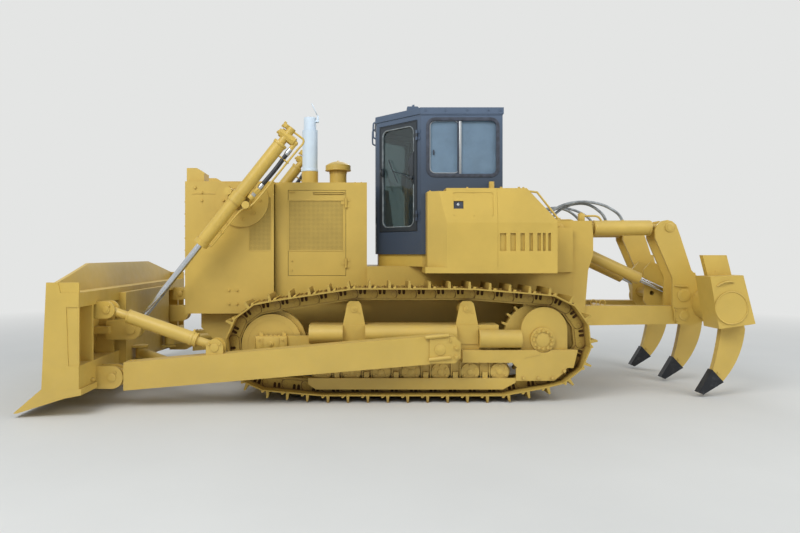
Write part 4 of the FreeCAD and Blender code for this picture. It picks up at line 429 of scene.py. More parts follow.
def lathe_matrix(at, axis):
    turn = Vector((0, 0, 1)).rotation_difference(Vector(axis)).to_matrix().to_4x4()
    return Matrix.Translation(Vector(at)) @ turn


def round_bar(bm, start, end, radius, sides=20, tip=None, rounding=0.0):
    """A bar between two points in millimetres; tip is its radius at the end."""
    start, end = Vector(start), Vector(end)
    along = end - start
    made = bmesh.ops.create_cone(bm, cap_ends=True, segments=sides, radius1=radius,
                                 radius2=radius if tip is None else tip, depth=along.length,
                                 matrix=lathe_matrix((start + end) / 2, along))
    if not rounding:
        return made["verts"]
    rims = [e for e in {e for v in made["verts"] for e in v.link_edges} if any(len(f.verts) > 4 for f in e.link_faces)]
    return bmesh.ops.bevel(bm, geom=rims, offset=rounding, segments=2, profile=0.5, affect="EDGES",
                           material=-1)["verts"]


def bolt(bm, at, axis, across, height=None):
    """A hexagon head on its washer, standing on a face at a point."""
    at, axis = Vector(at), Vector(axis).normalized()
    height = height or across * 0.6
    washer = across * 0.12
    round_bar(bm, at, at + axis * washer, across * 0.78, 12)
    round_bar(bm, at + axis * washer, at + axis * (washer + height), across / math.sqrt(3), 6, across * 0.53)


def bolt_circle(bm, at, axis, radius, count, across, start=0.0, turn=360.0):
    """Bolts round a circle; axis is +Y or -Y."""
    for i in range(count):
        angle = math.radians(start + turn * i / count)
        spot = Vector(at) + Vector((math.cos(angle), 0, math.sin(angle))) * radius
        bolt(bm, spot, axis, across)


def piece(name, bm, body, finish, smooth=True):
    """Turns a bmesh in millimetres into a finished piece that rides on a body."""
    bmesh.ops.scale(bm, vec=(MM, MM, MM), verts=bm.verts)
    bmesh.ops.recalc_face_normals(bm, faces=bm.faces)
    mesh = bpy.data.meshes.new(name)
    bm.to_mesh(mesh)
    bm.free()
    if smooth:
        mesh.shade_smooth()
        mesh.set_sharp_from_angle(angle=math.radians(35))
    mesh.materials.append(FINISHES[finish])
    made = bpy.data.objects.new(name, mesh)
    bpy.context.scene.collection.objects.link(made)
    if body:
        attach(made, body)
    return made


def slab(bm, outline, y0, y1, rounding=0.0):
    """A plate with an outline of X and Z, from y0 to y1."""
    verts = [bm.verts.new((x, y0, z)) for x, z in outline]
    face = bm.faces.new(verts)
    raised = bmesh.ops.extrude_face_region(bm, geom=[face])["geom"]
    far = [v for v in raised if isinstance(v, bmesh.types.BMVert)]
    bmesh.ops.translate(bm, vec=Vector((0, y1 - y0, 0)), verts=far)
    if rounding:
        rim = [e for e in raised if isinstance(e, bmesh.types.BMEdge)]
        bmesh.ops.bevel(bm, geom=rim, offset=rounding, segments=2, profile=0.5, affect="EDGES", material=-1)
    return verts + far


def rounded_outline(x0, x1, z0, z1, corner, steps=5):
    """A rectangle of X and Z with rounded corners."""
    outline = []
    for cx, cz, start in ((x1 - corner, z1 - corner, 0), (x0 + corner, z1 - corner, 90),
                          (x0 + corner, z0 + corner, 180), (x1 - corner, z0 + corner, 270)):
        for i in range(steps + 1):
            angle = math.radians(start + 90 * i / steps)
            outline.append((cx + corner * math.cos(angle), cz + corner * math.sin(angle)))
    return outline


def frame_strip(bm, window, corner, inside, outside, y0, y1, rounding=0.0):
    """A strip round a window: inside and outside are how far it reaches from the window's edge."""
    x0, x1, z0, z1 = window
    loops = []
    for reach in (outside, -inside):
        outline = rounded_outline(x0 - reach, x1 + reach, z0 - reach, z1 + reach, max(4.0, corner + reach))
        verts = [bm.verts.new((x, y0, z)) for x, z in outline]
        loops += [bm.edges.new((a, b)) for a, b in zip(verts, verts[1:] + verts[:1])]
    faces = bmesh.ops.bridge_loops(bm, edges=loops)["faces"]
    raised = bmesh.ops.extrude_face_region(bm, geom=faces)["geom"]
    far = [v for v in raised if isinstance(v, bmesh.types.BMVert)]
    bmesh.ops.translate(bm, vec=Vector((0, y1 - y0, 0)), verts=far)
    if rounding:
        rim = [e for e in raised if isinstance(e, bmesh.types.BMEdge) and e.calc_face_angle(0) > 0.5]
        bmesh.ops.bevel(bm, geom=rim, offset=rounding, segments=2, profile=0.5, affect="EDGES", material=-1)
    return far + [v for e in loops for v in e.verts]


def route_curve(points, radius=0.0, straight=False):
    """A temporary curve through or near points in millimetres; with a radius it is a tube."""
    curve = bpy.data.curves.new("route", "CURVE")
    curve.dimensions = "3D"
    curve.resolution_u = 8
    curve.bevel_depth = radius * MM
    curve.bevel_resolution = 3
    curve.use_fill_caps = True
    spline = curve.splines.new("POLY" if straight else "NURBS")
    spline.points.add(len(points) - 1)
    for control, point in zip(spline.points, points):
        control.co = (*(Vector(point) * MM), 1.0)
    if not straight:
        spline.order_u = 3
        spline.use_endpoint_u = True
    return bpy.data.objects.new("route", curve)


def tube(bm, points, radius, straight=False):
    """A bent tube, added to a bmesh in millimetres."""
    holder = route_curve(points, radius, straight)
    mesh = bpy.data.meshes.new_from_object(holder)
    mesh.transform(Matrix.Scale(1 / MM, 4))
    closed = bmesh.new()
    closed.from_mesh(mesh)
    bmesh.ops.remove_doubles(closed, verts=closed.verts, dist=0.01)
    closed.to_mesh(mesh)
    closed.free()
    bm.from_mesh(mesh)
    curve = holder.data
    bpy.data.objects.remove(holder)
    bpy.data.curves.remove(curve)
    bpy.data.meshes.remove(mesh)


def line_of(points):
    """The points in metres that a smooth route's own line follows, and its length."""
    holder = route_curve(points)
    mesh = bpy.data.meshes.new_from_object(holder)
    line = [v.co.copy() for v in mesh.vertices]
    curve = holder.data
    bpy.data.objects.remove(holder)
    bpy.data.curves.remove(curve)
    bpy.data.meshes.remove(mesh)
    return line, sum((b - a).length for a, b in zip(line, line[1:]))


def pair(name, build, body, finish, smooth=True):
    """A piece for each side: build makes the right one, and the left one is its mirror image."""
    made = []
    for side, sign in SIDES:
        bm = bmesh.new()
        build(bm)
        bmesh.ops.scale(bm, vec=(1, sign, 1), verts=bm.verts)
        made.append(piece(name + "_" + side, bm, body.replace("SIDE", side), finish, smooth))
    return made


def along(start, direction, distance):
    return (start[0] + direction[0] * distance, start[1] + direction[1] * distance)


def at(point, y):
    """The point of X and Z at a given Y."""
    return (point[0], y, point[1])


# Track chain

LINK_PITCH = 228.6
TRACK_Y = 1070.0
SHOE = (790.0, 1350.0)          # the shoes' two ends
SHOE_FACE = 75.0                # from the pin line to the shoe's outer face
RAIL_SIDES = ((1165.0, 1), (975.0, -1))     # outer side of each rail, and the way that it faces
LINK_THICK = 13.0
# X, Z and radius of the pin line round each wheel, in the order of the chain
SPROCKET = (1622.0, 708.6, 459.6)
WHEELS = ((-935.4, 336.0, 185.0), (1122.0, 336.0, 185.0), SPROCKET, (747.0, 1066.0, 170.0),
          (-566.0, 1066.0, 170.0), (-1528.0, 647.0, 442.0))
# Outline of a link's side, along it from its pin and out from the pin line, open at the shoe
LINK_SIDE = ((4, 58), (-16, 47), (-31, 28), (-37, 0), (-31, -24), (-16, -40), (4, -47), (198, -47), (190, -38),
             (184, -22), (183, 0), (188, 24), (198, 44), (208, 58), (176, 58), (174, 8), (166, -4), (150, -4),
             (142, 8), (140, 58), (126, 58), (124, 8), (116, -4), (100, -4), (92, 8), (90, 58))


def chain_pins():
    """The pins of the closed chain, spaced evenly round its wheels."""
    leaving = []
    for here, there in zip(WHEELS, WHEELS[1:] + WHEELS[:1]):
        dx, dz = there[0] - here[0], there[1] - here[1]
        leaving.append(math.atan2(dz, dx) - math.acos((here[2] - there[2]) / math.hypot(dx, dz)))
    spans = []
    for i, angle in enumerate(leaving):
        nxt = (i + 1) % len(WHEELS)
        here, there = WHEELS[i], WHEELS[nxt]
        way = (math.cos(angle), math.sin(angle))
        start, end = along(here, way, here[2]), along(there, way, there[2])
        spans.append((math.dist(start, end), start, end))
        spans.append(((leaving[nxt] - angle) % math.tau * there[2], there, angle))
    total = sum(span[0] for span in spans)

    def point(run):
        run %= total
        for length, first, second in spans:
            if run <= length:
                break
            run -= length
        if isinstance(second, tuple):
            return tuple(a + (b - a) * run / length for a, b in zip(first, second))
        angle = second + run / first[2]
        return along(first, (math.cos(angle), math.sin(angle)), first[2])

    def walk(pitch, links, start):
        """The chain's pins from the start, and how far along the last link ends."""
        run = start
        pins = []
        for _ in range(links):
            here = point(run)
            pins.append(here)
            low, high = run + pitch * 0.99, run + pitch * 1.2
            for _ in range(36):
                middle = (low + high) / 2
                if math.dist(here, point(middle)) < pitch:
                    low = middle
                else:
                    high = middle
            run = low
        return pins, run - start

    links = round(total / LINK_PITCH)
    start = spans[0][0] + spans[1][0] / 2
    low, high = 0.96 * total / links, total / links
    for _ in range(36):
        pitch = (low + high) / 2
        if walk(pitch, links, start)[1] < total:
            low = pitch
        else:
            high = pitch
    return walk(low, links, start)[0]


def chain_links():
    """Each link's pin, the unit vector to the next pin, and the one that points outwards."""
    pins = chain_pins()
    for here, there in zip(pins, pins[1:] + pins[:1]):
        reach = math.dist(here, there)
        u = ((there[0] - here[0]) / reach, (there[1] - here[1]) / reach)
        yield here, u, (u[1], -u[0])


def on_link(link, run, out):
    pin, u, n = link
    return along(along(pin, u, run), n, out)


def make_chain():
    links = list(chain_links())

    def sides(bm):
        for link in links:
            for face, way in RAIL_SIDES:
                outline = [on_link(link, run, out) for run, out in LINK_SIDE]
                slab(bm, outline, face - way, face + way * LINK_THICK)
                pin = at(link[0], face + way * LINK_THICK)
                round_bar(bm, at(link[0], face), Vector(pin) + Vector((0, way * 3, 0)), 24, 12)

    def windows(bm):
        for link in links:
            for face, way in RAIL_SIDES:
                for run in (90, 140):
                    # Painted shade: a thin dark sheet closes the back of each open window in the link
                    corners = [on_link(link, run + a, b) for a, b in ((-2, 58), (-2, -6), (38, -6), (38, 58))]
                    slab(bm, corners, face - way, face + way * 1.5)

    def shoe_bolts(bm):
        for link in links:
            out = Vector((link[2][0], 0, link[2][1]))
            for run in (108, 168):
                for y in (TRACK_Y - 85, TRACK_Y - 50, TRACK_Y + 50, TRACK_Y + 85):
                    spot = Vector(at(on_link(link, run, SHOE_FACE), y))
                    round_bar(bm, spot - out, spot + out * 16, 19, 6, 17)

    def lips(bm):
        for link in links:
            outline = [on_link(link, run, out) for run, out in
                       ((-16, 70), (-24, 80), (-22, 92), (-10, 97), (2, 92), (14, 80), (22, 72))]
            slab(bm, outline, SHOE[0] + 4, SHOE[1] - 4)

    pair("track_link_sides", sides, "root", "track_steel")
    pair("track_link_windows", windows, "root", "window_shade_fill", smooth=False)
    pair("track_shoe_bolts", shoe_bolts, "root", "track_steel", smooth=False)
    pair("track_shoe_lips", lips, "root", "shoe_steel")


# Undercarriage

ROLLER_X = [-935.4 + 342.9 * i for i in range(7)]
ROLLER_Z = 336.0
IDLER = (-1528.0, 647.0)
HUB = (1622.0, 708.6)
TRUNNION = (387.0, 650.0)
ARM_FACE = 1634.0
FRAME_FACE = 1220.0


def make_undercarriage():
    large = sizes().bolt_across / MM
    small = sizes().bolt_small / MM

    def wheels(bm):
        bolt_circle(bm, at(HUB, 1255), (0, 1, 0), 106, 12, large * 0.8)
        round_bar(bm, at(HUB, 1254), at(HUB, 1259), 82, 40, rounding=3)
        for x in ROLLER_X:
            bolt_circle(bm, (x, 1246, ROLLER_Z), (0, 1, 0), 76, 6, small, start=30)
            round_bar(bm, (x, 1245, ROLLER_Z), (x, 1254, ROLLER_Z), 34, 20, rounding=3)
        for x in (-566.0, 747.0):
            bolt(bm, (x, 1231, 1066), (0, 1, 0), small)
            for side in (-1, 1):
                bolt(bm, (x + side * 62, 1219, 1112 if side < 0 else 1020), (0, 1, 0), small * 0.8)

    def idler_block(bm):
        block(bm, -1706, -1350, 1254, 1260, 588, 744, 2)
        for x in (-1666, -1390):
            for z in (622, 712):
                bolt(bm, (x, 1260, z), (0, 1, 0), small)
            block(bm, x - 46, x - 40, 1254, 1270, 596, 736, 1)
            block(bm, x + 40, x + 46, 1254, 1270, 596, 736, 1)
        round_bar(bm, (IDLER[0], 1259, 664), (IDLER[0], 1272, 664), 32, 20, rounding=3)
        bolt(bm, (IDLER[0], 1271, 664), (0, 1, 0), small)
        for x in (-1642, -1376):
            slab(bm, ((x - 20, 750), (x - 24, 792), (x - 12, 796), (x + 20, 780), (x + 20, 750)), 1206, 1232)
        for i in range(4):
            block(bm, -1590 + 48 * i, -1568 + 48 * i, 1222, 1240, 750, 764, 1)

    def guards(bm):
        for x, z in ((1387, 274), (1556, 274), (1718, 274), (1856, 355)):
            bolt(bm, (x, 1290, z), (0, 1, 0), large * 0.9)
        for x in ROLLER_X[:-1]:
            for shift in (120, 222):
                block(bm, x + shift, x + shift + 12, 1221, 1244, 262, 470, 2)
        slab(bm, ((1400, 500), (1580, 540), (1582, 546), (1400, 507)), 1288, 1294)

    def trunnion(bm):
        round_bar(bm, (TRUNNION[0], ARM_FACE - 2, TRUNNION[1]), (TRUNNION[0], ARM_FACE + 10, TRUNNION[1]), 60, 36,
                  rounding=4)
        round_bar(bm, (TRUNNION[0], ARM_FACE + 9, TRUNNION[1]), (TRUNNION[0], ARM_FACE + 14, TRUNNION[1]), 34, 28,
                  rounding=2)

    pair("wheel_bolts", wheels, "root", "body_enamel")
    pair("idler_block_fittings", idler_block, "root", "body_enamel")
    pair("roller_guard_ribs", guards, "root", "undercarriage_enamel")
    pair("trunnion_caps", trunnion, "root", "body_enamel")

    def arm_cap(bm):
        for (x0, z0), (x1, z1) in (((222, 784), (482, 808)), ((262, 540), (500, 566))):
            round_bar(bm, (x0, ARM_FACE + 8, z0), (x1, ARM_FACE + 8, z1), 21, 16, rounding=4)
        for z in (569, 669):
            round_bar(bm, (565, ARM_FACE - 1, z), (565, ARM_FACE + 5, z), 34, 24)
            bolt(bm, (565, ARM_FACE + 4, z), (0, 1, 0), large)
        bolt(bm, (500, ARM_FACE, 744), (0, 1, 0), small)

    pair("trunnion_cap_bolts", arm_cap, "blade", "body_enamel")


# Blade and its lift cylinders

BRACE_Y = 1520.0
# Pin's place, middle between its lugs, outer face from that middle, radius of its head
BLADE_PINS = (((-3241.0, 339.0), BRACE_Y, 90.0, 50.0), ((-3306.0, 1084.0), BRACE_Y, 84.0, 42.0))
EDGE_TOP = (-3800.0, 300.0)
EDGE_TIP = (-4094.0, 48.0)
BLADE_HALF = 2065.0
LIFT_Y = 1080.0
LIFT_TRUNNION = (-1952.0, 2365.0)
LIFT_DOWN = (-0.6213, -0.7836)      # along the barrel, towards the blade
LIFT_BACK = (0.7836, -0.6213)       # across the barrel, to the rear
LIFT_ELBOW = (-736.0 - 200.0, 137.0)


def on_lift(run, out, y=LIFT_Y):
    """A point beside a lift cylinder: along it from its trunnion, and out to its rear side."""
    return at(along(along(LIFT_TRUNNION, LIFT_DOWN, run), LIFT_BACK, out), y)


def make_blade_fittings():
    large = sizes().bolt_across / MM
    small = sizes().bolt_small / MM

    def heads(bm):
        for spot, y, face, radius in BLADE_PINS:
            for way in (-1, 1):
                round_bar(bm, at(spot, y + way * (face - 1)), at(spot, y + way * (face + 11)), radius, 32, rounding=3)
                round_bar(bm, at(spot, y + way * (face + 10)), at(spot, y + way * (face + 15)), radius * 0.55, 24)
                bolt(bm, at(along(spot, (0.6, 0.8), radius * 1.45), y + way * face), (0, way, 0), small)
        for y in (1310, 1730):
            block(bm, -3411, -3385, y - 30, y + 30, 330, 352, 4)

    def edge_bolts(bm):
        run = Vector((EDGE_TIP[0] - EDGE_TOP[0], 0, EDGE_TIP[1] - EDGE_TOP[1]))
        out = Vector((run.z, 0, -run.x)).normalized()
        for share in (0.24, 0.5):
            spot = Vector(at(EDGE_TOP, 0)) + run * share
            for i in range(14):
                place = spot + Vector((0, 75 + 150 * i, 0))
                if place.y < BLADE_HALF - 20:
                    round_bar(bm, place - out, place + out * 6, large * 0.6, 12, large * 0.45)

    def brace_rings(bm):
        unit = (0.9446, -0.3282)
        top = (-3306.0, 1084.0)
        for run, radius, width in ((232, 82, 16), (967, 84, 34), (1032, 83, 16)):
            round_bar(bm, at(along(top, unit, run), BRACE_Y), at(along(top, unit, run + width), BRACE_Y), radius, 32,
                      rounding=4)
        grease = along(along(top, unit, 984), (0.3282, 0.9446), 80)
        round_bar(bm, at(grease, BRACE_Y), at(along(grease, (0.3282, 0.9446), 26), BRACE_Y), 13, 12, 9)

    def foot_heads(bm):
        spot = (-2106.0, 667.0)
        for way in (-1, 1):
            round_bar(bm, at(spot, BRACE_Y + way * 83), at(spot, BRACE_Y + way * 95), 46, 32, rounding=3)
            for turn in (35, 145):
                angle = math.radians(turn)
                bolt(bm, at(along(spot, (math.cos(angle), math.sin(angle)), 72), BRACE_Y + way * 84), (0, way, 0), small)
        for x in (-3060, -3010):
            bolt(bm, (x, BRACE_Y, 505), (0, 0, 1), small)

    pair("blade_pin_heads", heads, "blade", "body_enamel")
    pair("edge_bolts", edge_bolts, "blade", "body_enamel")
    pair("brace_foot_pins", foot_heads, "blade", "body_enamel")
    pair("brace_rings", brace_rings, "blade", "body_enamel")


def make_lift_fittings():
    start, out = LIFT_ELBOW

    def blocks(bm):
        round_bar(bm, on_lift(start + 687, out - 2), on_lift(start + 762, 128), 38, 6, 34, rounding=3)
        round_bar(bm, on_lift(start + 799, 126), on_lift(-84, 122), 42, 24, rounding=5)
        for run, across in ((-1030, 46), (-936, 52)):
            round_bar(bm, on_lift(run - 24, -62), on_lift(run + 24, -62), across, 6, rounding=3)
        for run in (-1052, -1010, -915):
            round_bar(bm, on_lift(run, -118), on_lift(run, -90), 20, 6)
        round_bar(bm, on_lift(-936, -84), on_lift(-936, 126), 56, 8, rounding=7)
        round_bar(bm, on_lift(664, 0), on_lift(702, 0), 86, 40, rounding=4)
        round_bar(bm, on_lift(-836, 0), on_lift(-800, 0), 86, 40, rounding=4)

    def pipes(bm):
        tube(bm, [on_lift(-1028, 18), on_lift(-1032, 120), on_lift(-1034, 196), on_lift(-980, 214), on_lift(-900, 204),
                  on_lift(-500, 202), on_lift(-140, 200), on_lift(-20, 186), on_lift(60, 128), on_lift(150, 116),
                  on_lift(420, 116), on_lift(590, 116), on_lift(640, 112), on_lift(655, 90), on_lift(655, 60)], 12.5)
        for run in (-700, 430):
            reach = 203 if run < 0 else 117
            block_verts = round_bar(bm, on_lift(run, 70), on_lift(run, reach + 16), 11, 8)
            bmesh.ops.scale(bm, vec=(1, 2.4, 1), space=Matrix.Translation((0, -LIFT_Y, 0)), verts=block_verts)

    pair("lift_valve_blocks", blocks, "lift_barrel_SIDE", "body_enamel")
    pair("lift_pipes", pipes, "lift_barrel_SIDE", "body_enamel")


# Hoses: X, Z of each route's points, its Y and its diameter

TILT_HOSES = (
    ("outer", 540.0, ((1815, 2030), (1826, 2110), (1868, 2190), (1976, 2285), (2150, 2352), (2369, 2368), (2570, 2330),
                      (2720, 2250), (2790, 2190), (2818, 2129))),
    ("inner", 485.0, ((1905, 2035), (1912, 2100), (1950, 2170), (2030, 2262), (2170, 2330), (2330, 2352), (2450, 2320),
                      (2560, 2240), (2610, 2180), (2630, 2129))),
)
TILT_HOSE = 36.0
LIFT_HOSE = 54.0


def hose_piece(name, points, diameter, body, finish="hose_rubber"):
    """A hose as a mesh tube on a smooth route, and the line that it follows."""
    line, length = line_of(points)
    bm = bmesh.new()
    tube(bm, points, diameter / 2)
    return piece(name, bm, body, finish), line, length


def make_hoses():
    start, out = LIFT_ELBOW

    def crimps(bm):
        for run, width in ((start + 90, 86), (start + 618, 70)):
            round_bar(bm, on_lift(run, out), on_lift(run + width, out), 31, 24, rounding=4)
            for i in (0.3, 0.6):
                round_bar(bm, on_lift(run + width * i, out), on_lift(run + width * i + 8, out), 33, 24)
        round_bar(bm, on_lift(start + 760, 128), on_lift(start + 800, 128), 30, 6)

    ends = pair("lift_hose_crimps", crimps, "lift_barrel_SIDE", "zinc_plate")
    for (side, sign), crimp in zip(SIDES, ends):
        for name, y, route in TILT_HOSES:
            points = [(x, sign * y, z) for x, z in route]
            hose, line, length = hose_piece(f"tilt_hose_{name}_{side}", points, TILT_HOSE, None, "grey_hose")
            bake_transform(hose)
            tuple(line[0])
            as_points(line)
        points = [on_lift(start + run, out + bow, sign * LIFT_Y)
                  for run, bow in ((88, 0), (200, 0), (390, 9), (580, 0), (688, 0))]
        hose, line, length = hose_piece("lift_hose_" + side, points, LIFT_HOSE, "lift_barrel_" + side)
        tuple(line[0])
        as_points(line)


# Engine enclosure and radiator guard

GUARD_FACE = 750.0
HOOD_FACE = 620.0
RADIATOR_CAP = (-2325.0, 2600.0)


def make_panels():
    small = sizes().bolt_small / MM

    def door_sheet(bm):
        block(bm, -1385, -711, HOOD_FACE - 7, HOOD_FACE - 4, 1751, 2369)

    def guard_sheet(bm):
        block(bm, -1861, -1601, GUARD_FACE - 7, GUARD_FACE - 4, 1751, 2404)

    def door_trim(bm):
        frame_strip(bm, (-1386, -710, 1750, 2370), 4, 0, 14, HOOD_FACE - 1, HOOD_FACE + 4, 1)
        block(bm, -1386, -1304, HOOD_FACE - 1, HOOD_FACE + 14, 2478, 2492, 3)
        round_bar(bm, (-1372, HOOD_FACE, 2485), (-1372, HOOD_FACE + 20, 2485), 12, 16, rounding=2)
        round_bar(bm, (-1070, HOOD_FACE - 4, 2458), (-706, HOOD_FACE - 4, 2458), 7, 10)
        for z in (1500, 1620):
            bolt(bm, (-1350, HOOD_FACE, z), (0, 1, 0), small * 0.8)

    def guard_trim(bm):
        for x, z in ((-2112, 1259), (-2013, 1259), (-2112, 1092), (-2013, 1092), (-2529, 2522), (-2448, 2462),
                     (-2448, 2365)):
            bolt(bm, (x, GUARD_FACE, z), (0, 1, 0), small * 1.2)
        slab(bm, ((-2569, 2444), (-2160, 2444), (-2108, 2398), (-2102, 2404), (-2156, 2454), (-2569, 2454)),
             GUARD_FACE - 1, GUARD_FACE + 6, 1)
        frame_strip(bm, (-1862, -1600, 1750, 2405), 4, 0, 12, GUARD_FACE - 1, GUARD_FACE + 3, 1)
        for i in range(8):
            bolt(bm, (-2655, 60 + 95 * i - 60 * (i > 6), 2560), (-1, 0, 0), small)
            bolt(bm, (-2655, 60 + 95 * i - 60 * (i > 6), 1010), (-1, 0, 0), small)
        for z in range(1150, 2500, 150):
            bolt(bm, (-2655, 700, z), (-1, 0, 0), small)
        for turn in range(0, 360, 45):
            angle = math.radians(turn)
            spot = along(LIFT_TRUNNION, (math.cos(angle), math.sin(angle)), 225)
            if spot[1] < 2570:
                bolt(bm, at(spot, GUARD_FACE + 22), (0, 1, 0), small * 1.3)

    pair("door_mesh_sheets", door_sheet, "engine_door_SIDE", "punched_sheet", smooth=False)
    pair("guard_mesh_sheets", guard_sheet, "root", "punched_sheet", smooth=False)
    pair("door_latches", door_trim, "engine_door_SIDE", "body_enamel")
    pair("guard_trim", guard_trim, "root", "body_enamel")

    bm = bmesh.new()
    x, z = RADIATOR_CAP
    round_bar(bm, (x, 0, z - 1), (x, 0, z + 16), 82, 40, rounding=3)
    round_bar(bm, (x, 0, z + 15), (x, 0, z + 46), 66, 40, 58, rounding=6)
    for side in (-1, 1):
        block(bm, x - 12, x + 12, side * 66 - 14, side * 66 + 14, z + 18, z + 40, 4)
    for hinge in (-470, 470):
        for place in (-520, -1480):
            block(bm, place - 60, place + 60, hinge - 20, hinge + 20, 2599, 2608, 2)
            for shift in (-40, 40):
                bolt(bm, (place + shift, hinge, 2608), (0, 0, 1), small * 0.8)
    piece("radiator_cap", bm, "root", "body_enamel")

    bm = bmesh.new()
    round_bar(bm, (-1171, 0, 2808), (-1171, 0, 2842), 109, 48, rounding=5)
    block(bm, -1290, -1262, -26, 26, 2812, 2838, 3)
    round_bar(bm, (-1276, -36, 2825), (-1276, 36, 2825), 6, 8)
    round_bar(bm, (-1171, 0, 3352), (-1171, 0, 3364), 104, 48, 84)
    piece("exhaust_clamp", bm, "root", "stack_paint")

    bm = bmesh.new()
    round_bar(bm, (-793, 0, 2818), (-793, 0, 2832), 174, 48, rounding=4)
    round_bar(bm, (-793, 0, 2944), (-793, 0, 2956), 22, 24, 14)
    for i in range(24):
        angle = math.tau * i / 24
        spot = Vector((math.cos(angle), math.sin(angle), 0))
        round_bar(bm, Vector((-793, 0, 2780)) + spot * 114, Vector((-793, 0, 2816)) + spot * 114, 5, 6)
    piece("precleaner_trim", bm, "root", "body_enamel")


# Cab and tanks

SIDE_WINDOW = (323.0, 1174.0, 2650.0, 3339.0)
CAB_FACE = 900.0
WINDOW_CORNER = 85.0
DOOR_CORNER = (242.0, 900.0)
DOOR_ALONG = (-0.6599, -0.7513)     # from the cab's corner along its door, in X and Y
DOOR_OUT = (-0.7513, 0.6599)


def to_door(bm, verts):
    """Moves a shape drawn with X along the door and Y outwards to the cab's door."""
    turn = Matrix(((DOOR_ALONG[0], DOOR_OUT[0], 0, DOOR_CORNER[0]), (DOOR_ALONG[1], DOOR_OUT[1], 0, DOOR_CORNER[1]),
                   (0, 0, 1, 0), (0, 0, 0, 1)))
    bmesh.ops.transform(bm, matrix=turn, verts=verts)


def make_cab_trim():
    small = sizes().bolt_small / MM
    width = sizes().seal_width / MM

    def seals(bm):
        frame_strip(bm, SIDE_WINDOW, WINDOW_CORNER, width * 0.8, width * 0.6, CAB_FACE - 8, CAB_FACE + 9, 4)
        block(bm, 685, 703, CAB_FACE - 34, CAB_FACE - 2, 2660, 3330)

    def sashes(bm):
        block(bm, 704, 730, CAB_FACE - 34, CAB_FACE + 1, 2672, 3318, 2)
        frame_strip(bm, (356, 704, 2690, 3312), 60, 0, 8, CAB_FACE - 32, CAB_FACE - 12)

    def handles(bm):
        block(bm, 390, 405, CAB_FACE - 32, CAB_FACE - 2, 2906, 2966, 4)
        for z in (2748, 3316):
            bolt(bm, (CAB_X_REAR, 800, z), (1, 0, 0), small)

    def door_seal(bm):
        verts = frame_strip(bm, (122, 682, 2040, 3280), WINDOW_CORNER, 10, 2, -14, 4, 2)
        to_door(bm, list(bm.verts))
        return verts

    def door_fittings(bm):
        slab(bm, ((116, 2966), (140, 2952), (214, 2855), (214, 2700), (140, 2560), (116, 2546)), -12, 4, 2)
        round_bar(bm, (150, 3, 2640), (150, 26, 2640), 24, 20, rounding=4)
        tube(bm, [(150, 20, 2640), (290, 22, 2690), (480, 14, 2752)], 6, straight=True)
        tube(bm, [(400, 10, 2600), (480, 12, 2752), (560, 10, 2900)], 7, straight=True)
        block(bm, 655, 690, 0, 16, 2690, 2800, 4)
        tube(bm, [(672, 12, 2705), (672, 52, 2715), (672, 52, 2785), (672, 12, 2795)], 8)
        frame_strip(bm, (78, 726, 1996, 3324), 20, 0, 8, -1, 5)
        to_door(bm, list(bm.verts))

    def gutter(bm):
        block(bm, 236, 1236, CAB_FACE - 1, CAB_FACE + 10, 3388, 3400, 3)
        for x in (300, 540, 800, 1060, 1200):
            bolt(bm, (x, CAB_FACE + 11, 3440), (0, 1, 0), small * 0.7)
        tube(bm, [(-286, 262, 3206), (-318, 262, 3216), (-326, 262, 3240), (-326, 262, 3390), (-318, 262, 3414),
                  (-286, 262, 3425)], 11)
        block(bm, 86, 92, 606, 714, 3482, 3524, 3)
        slab(bm, ((150, 3476), (150, 3556), (180, 3562), (180, 3476)), 640, 680, 3)

    pair("window_seals", seals, "root", "seal_rubber")
    pair("window_sashes", sashes, "root", "zinc_plate")
    pair("window_handles", handles, "root", "seal_rubber")
    pair("door_seals", door_seal, "cab_door_SIDE", "pale_seal")
    pair("door_fittings", door_fittings, "cab_door_SIDE", "door_shaded_enamel")
    pair("cab_gutters", gutter, "root", "cab_enamel")


CAB_X_REAR = 1230.0
TANK_FACE = 1250.0
TANK_LEAN = math.atan2(55.0, 405.0)


def make_tank_trim():
    small = sizes().bolt_small / MM

    def lean(bm, verts, z):
        """Turns a shape drawn upright at a height to the tank's leaning side."""
        y = TANK_FACE - (z - 2068.0) * math.tan(TANK_LEAN)
        bmesh.ops.translate(bm, vec=(0, y, z), verts=verts)
        bmesh.ops.rotate(bm, cent=(0, y, z), matrix=Matrix.Rotation(TANK_LEAN, 3, "X"), verts=verts)

    def pockets(bm):
        lean(bm, block(bm, 594, 706, -24, -21, -44, 44), 2276)

    def locks(bm):
        verts = round_bar(bm, (646, -22, 4), (646, -10, 4), 15, 20, rounding=3)
        verts += block(bm, 640, 652, -12, -6, -14, 22, 2)
        lean(bm, verts, 2276)

    def fittings(bm):
        round_bar(bm, (1076, 1000, 2472), (1076, 1000, 2486), 62, 32, rounding=3)
        for x in (1165, 1375):
            bolt(bm, (x, 1120, 2473), (0, 0, 1), small * 1.3)
        for x, y in ((330, 960), (330, 1090), (1420, 960), (1420, 1150), (760, 1150), (760, 960)):
            bolt(bm, (x, y, 2438 if x < 511 else 2473), (0, 0, 1), small)
        for x in (600, 830, 1047):
            for z in (2151, 2413):
                lean(bm, round_bar(bm, (x, -6, 0), (x, 2, 0), 7, 6), z)
        for z in (1600, 1700, 1960, 2040):
            bolt(bm, (TANK_REAR_X, 1180, z), (1, 0, 0), small)

    pair("tank_latch_pockets", pockets, "root", "seal_rubber", smooth=False)
    pair("tank_locks", locks, "root", "zinc_plate")
    pair("tank_fittings", fittings, "root", "body_enamel")


TANK_REAR_X = 1792.0


# Ripper

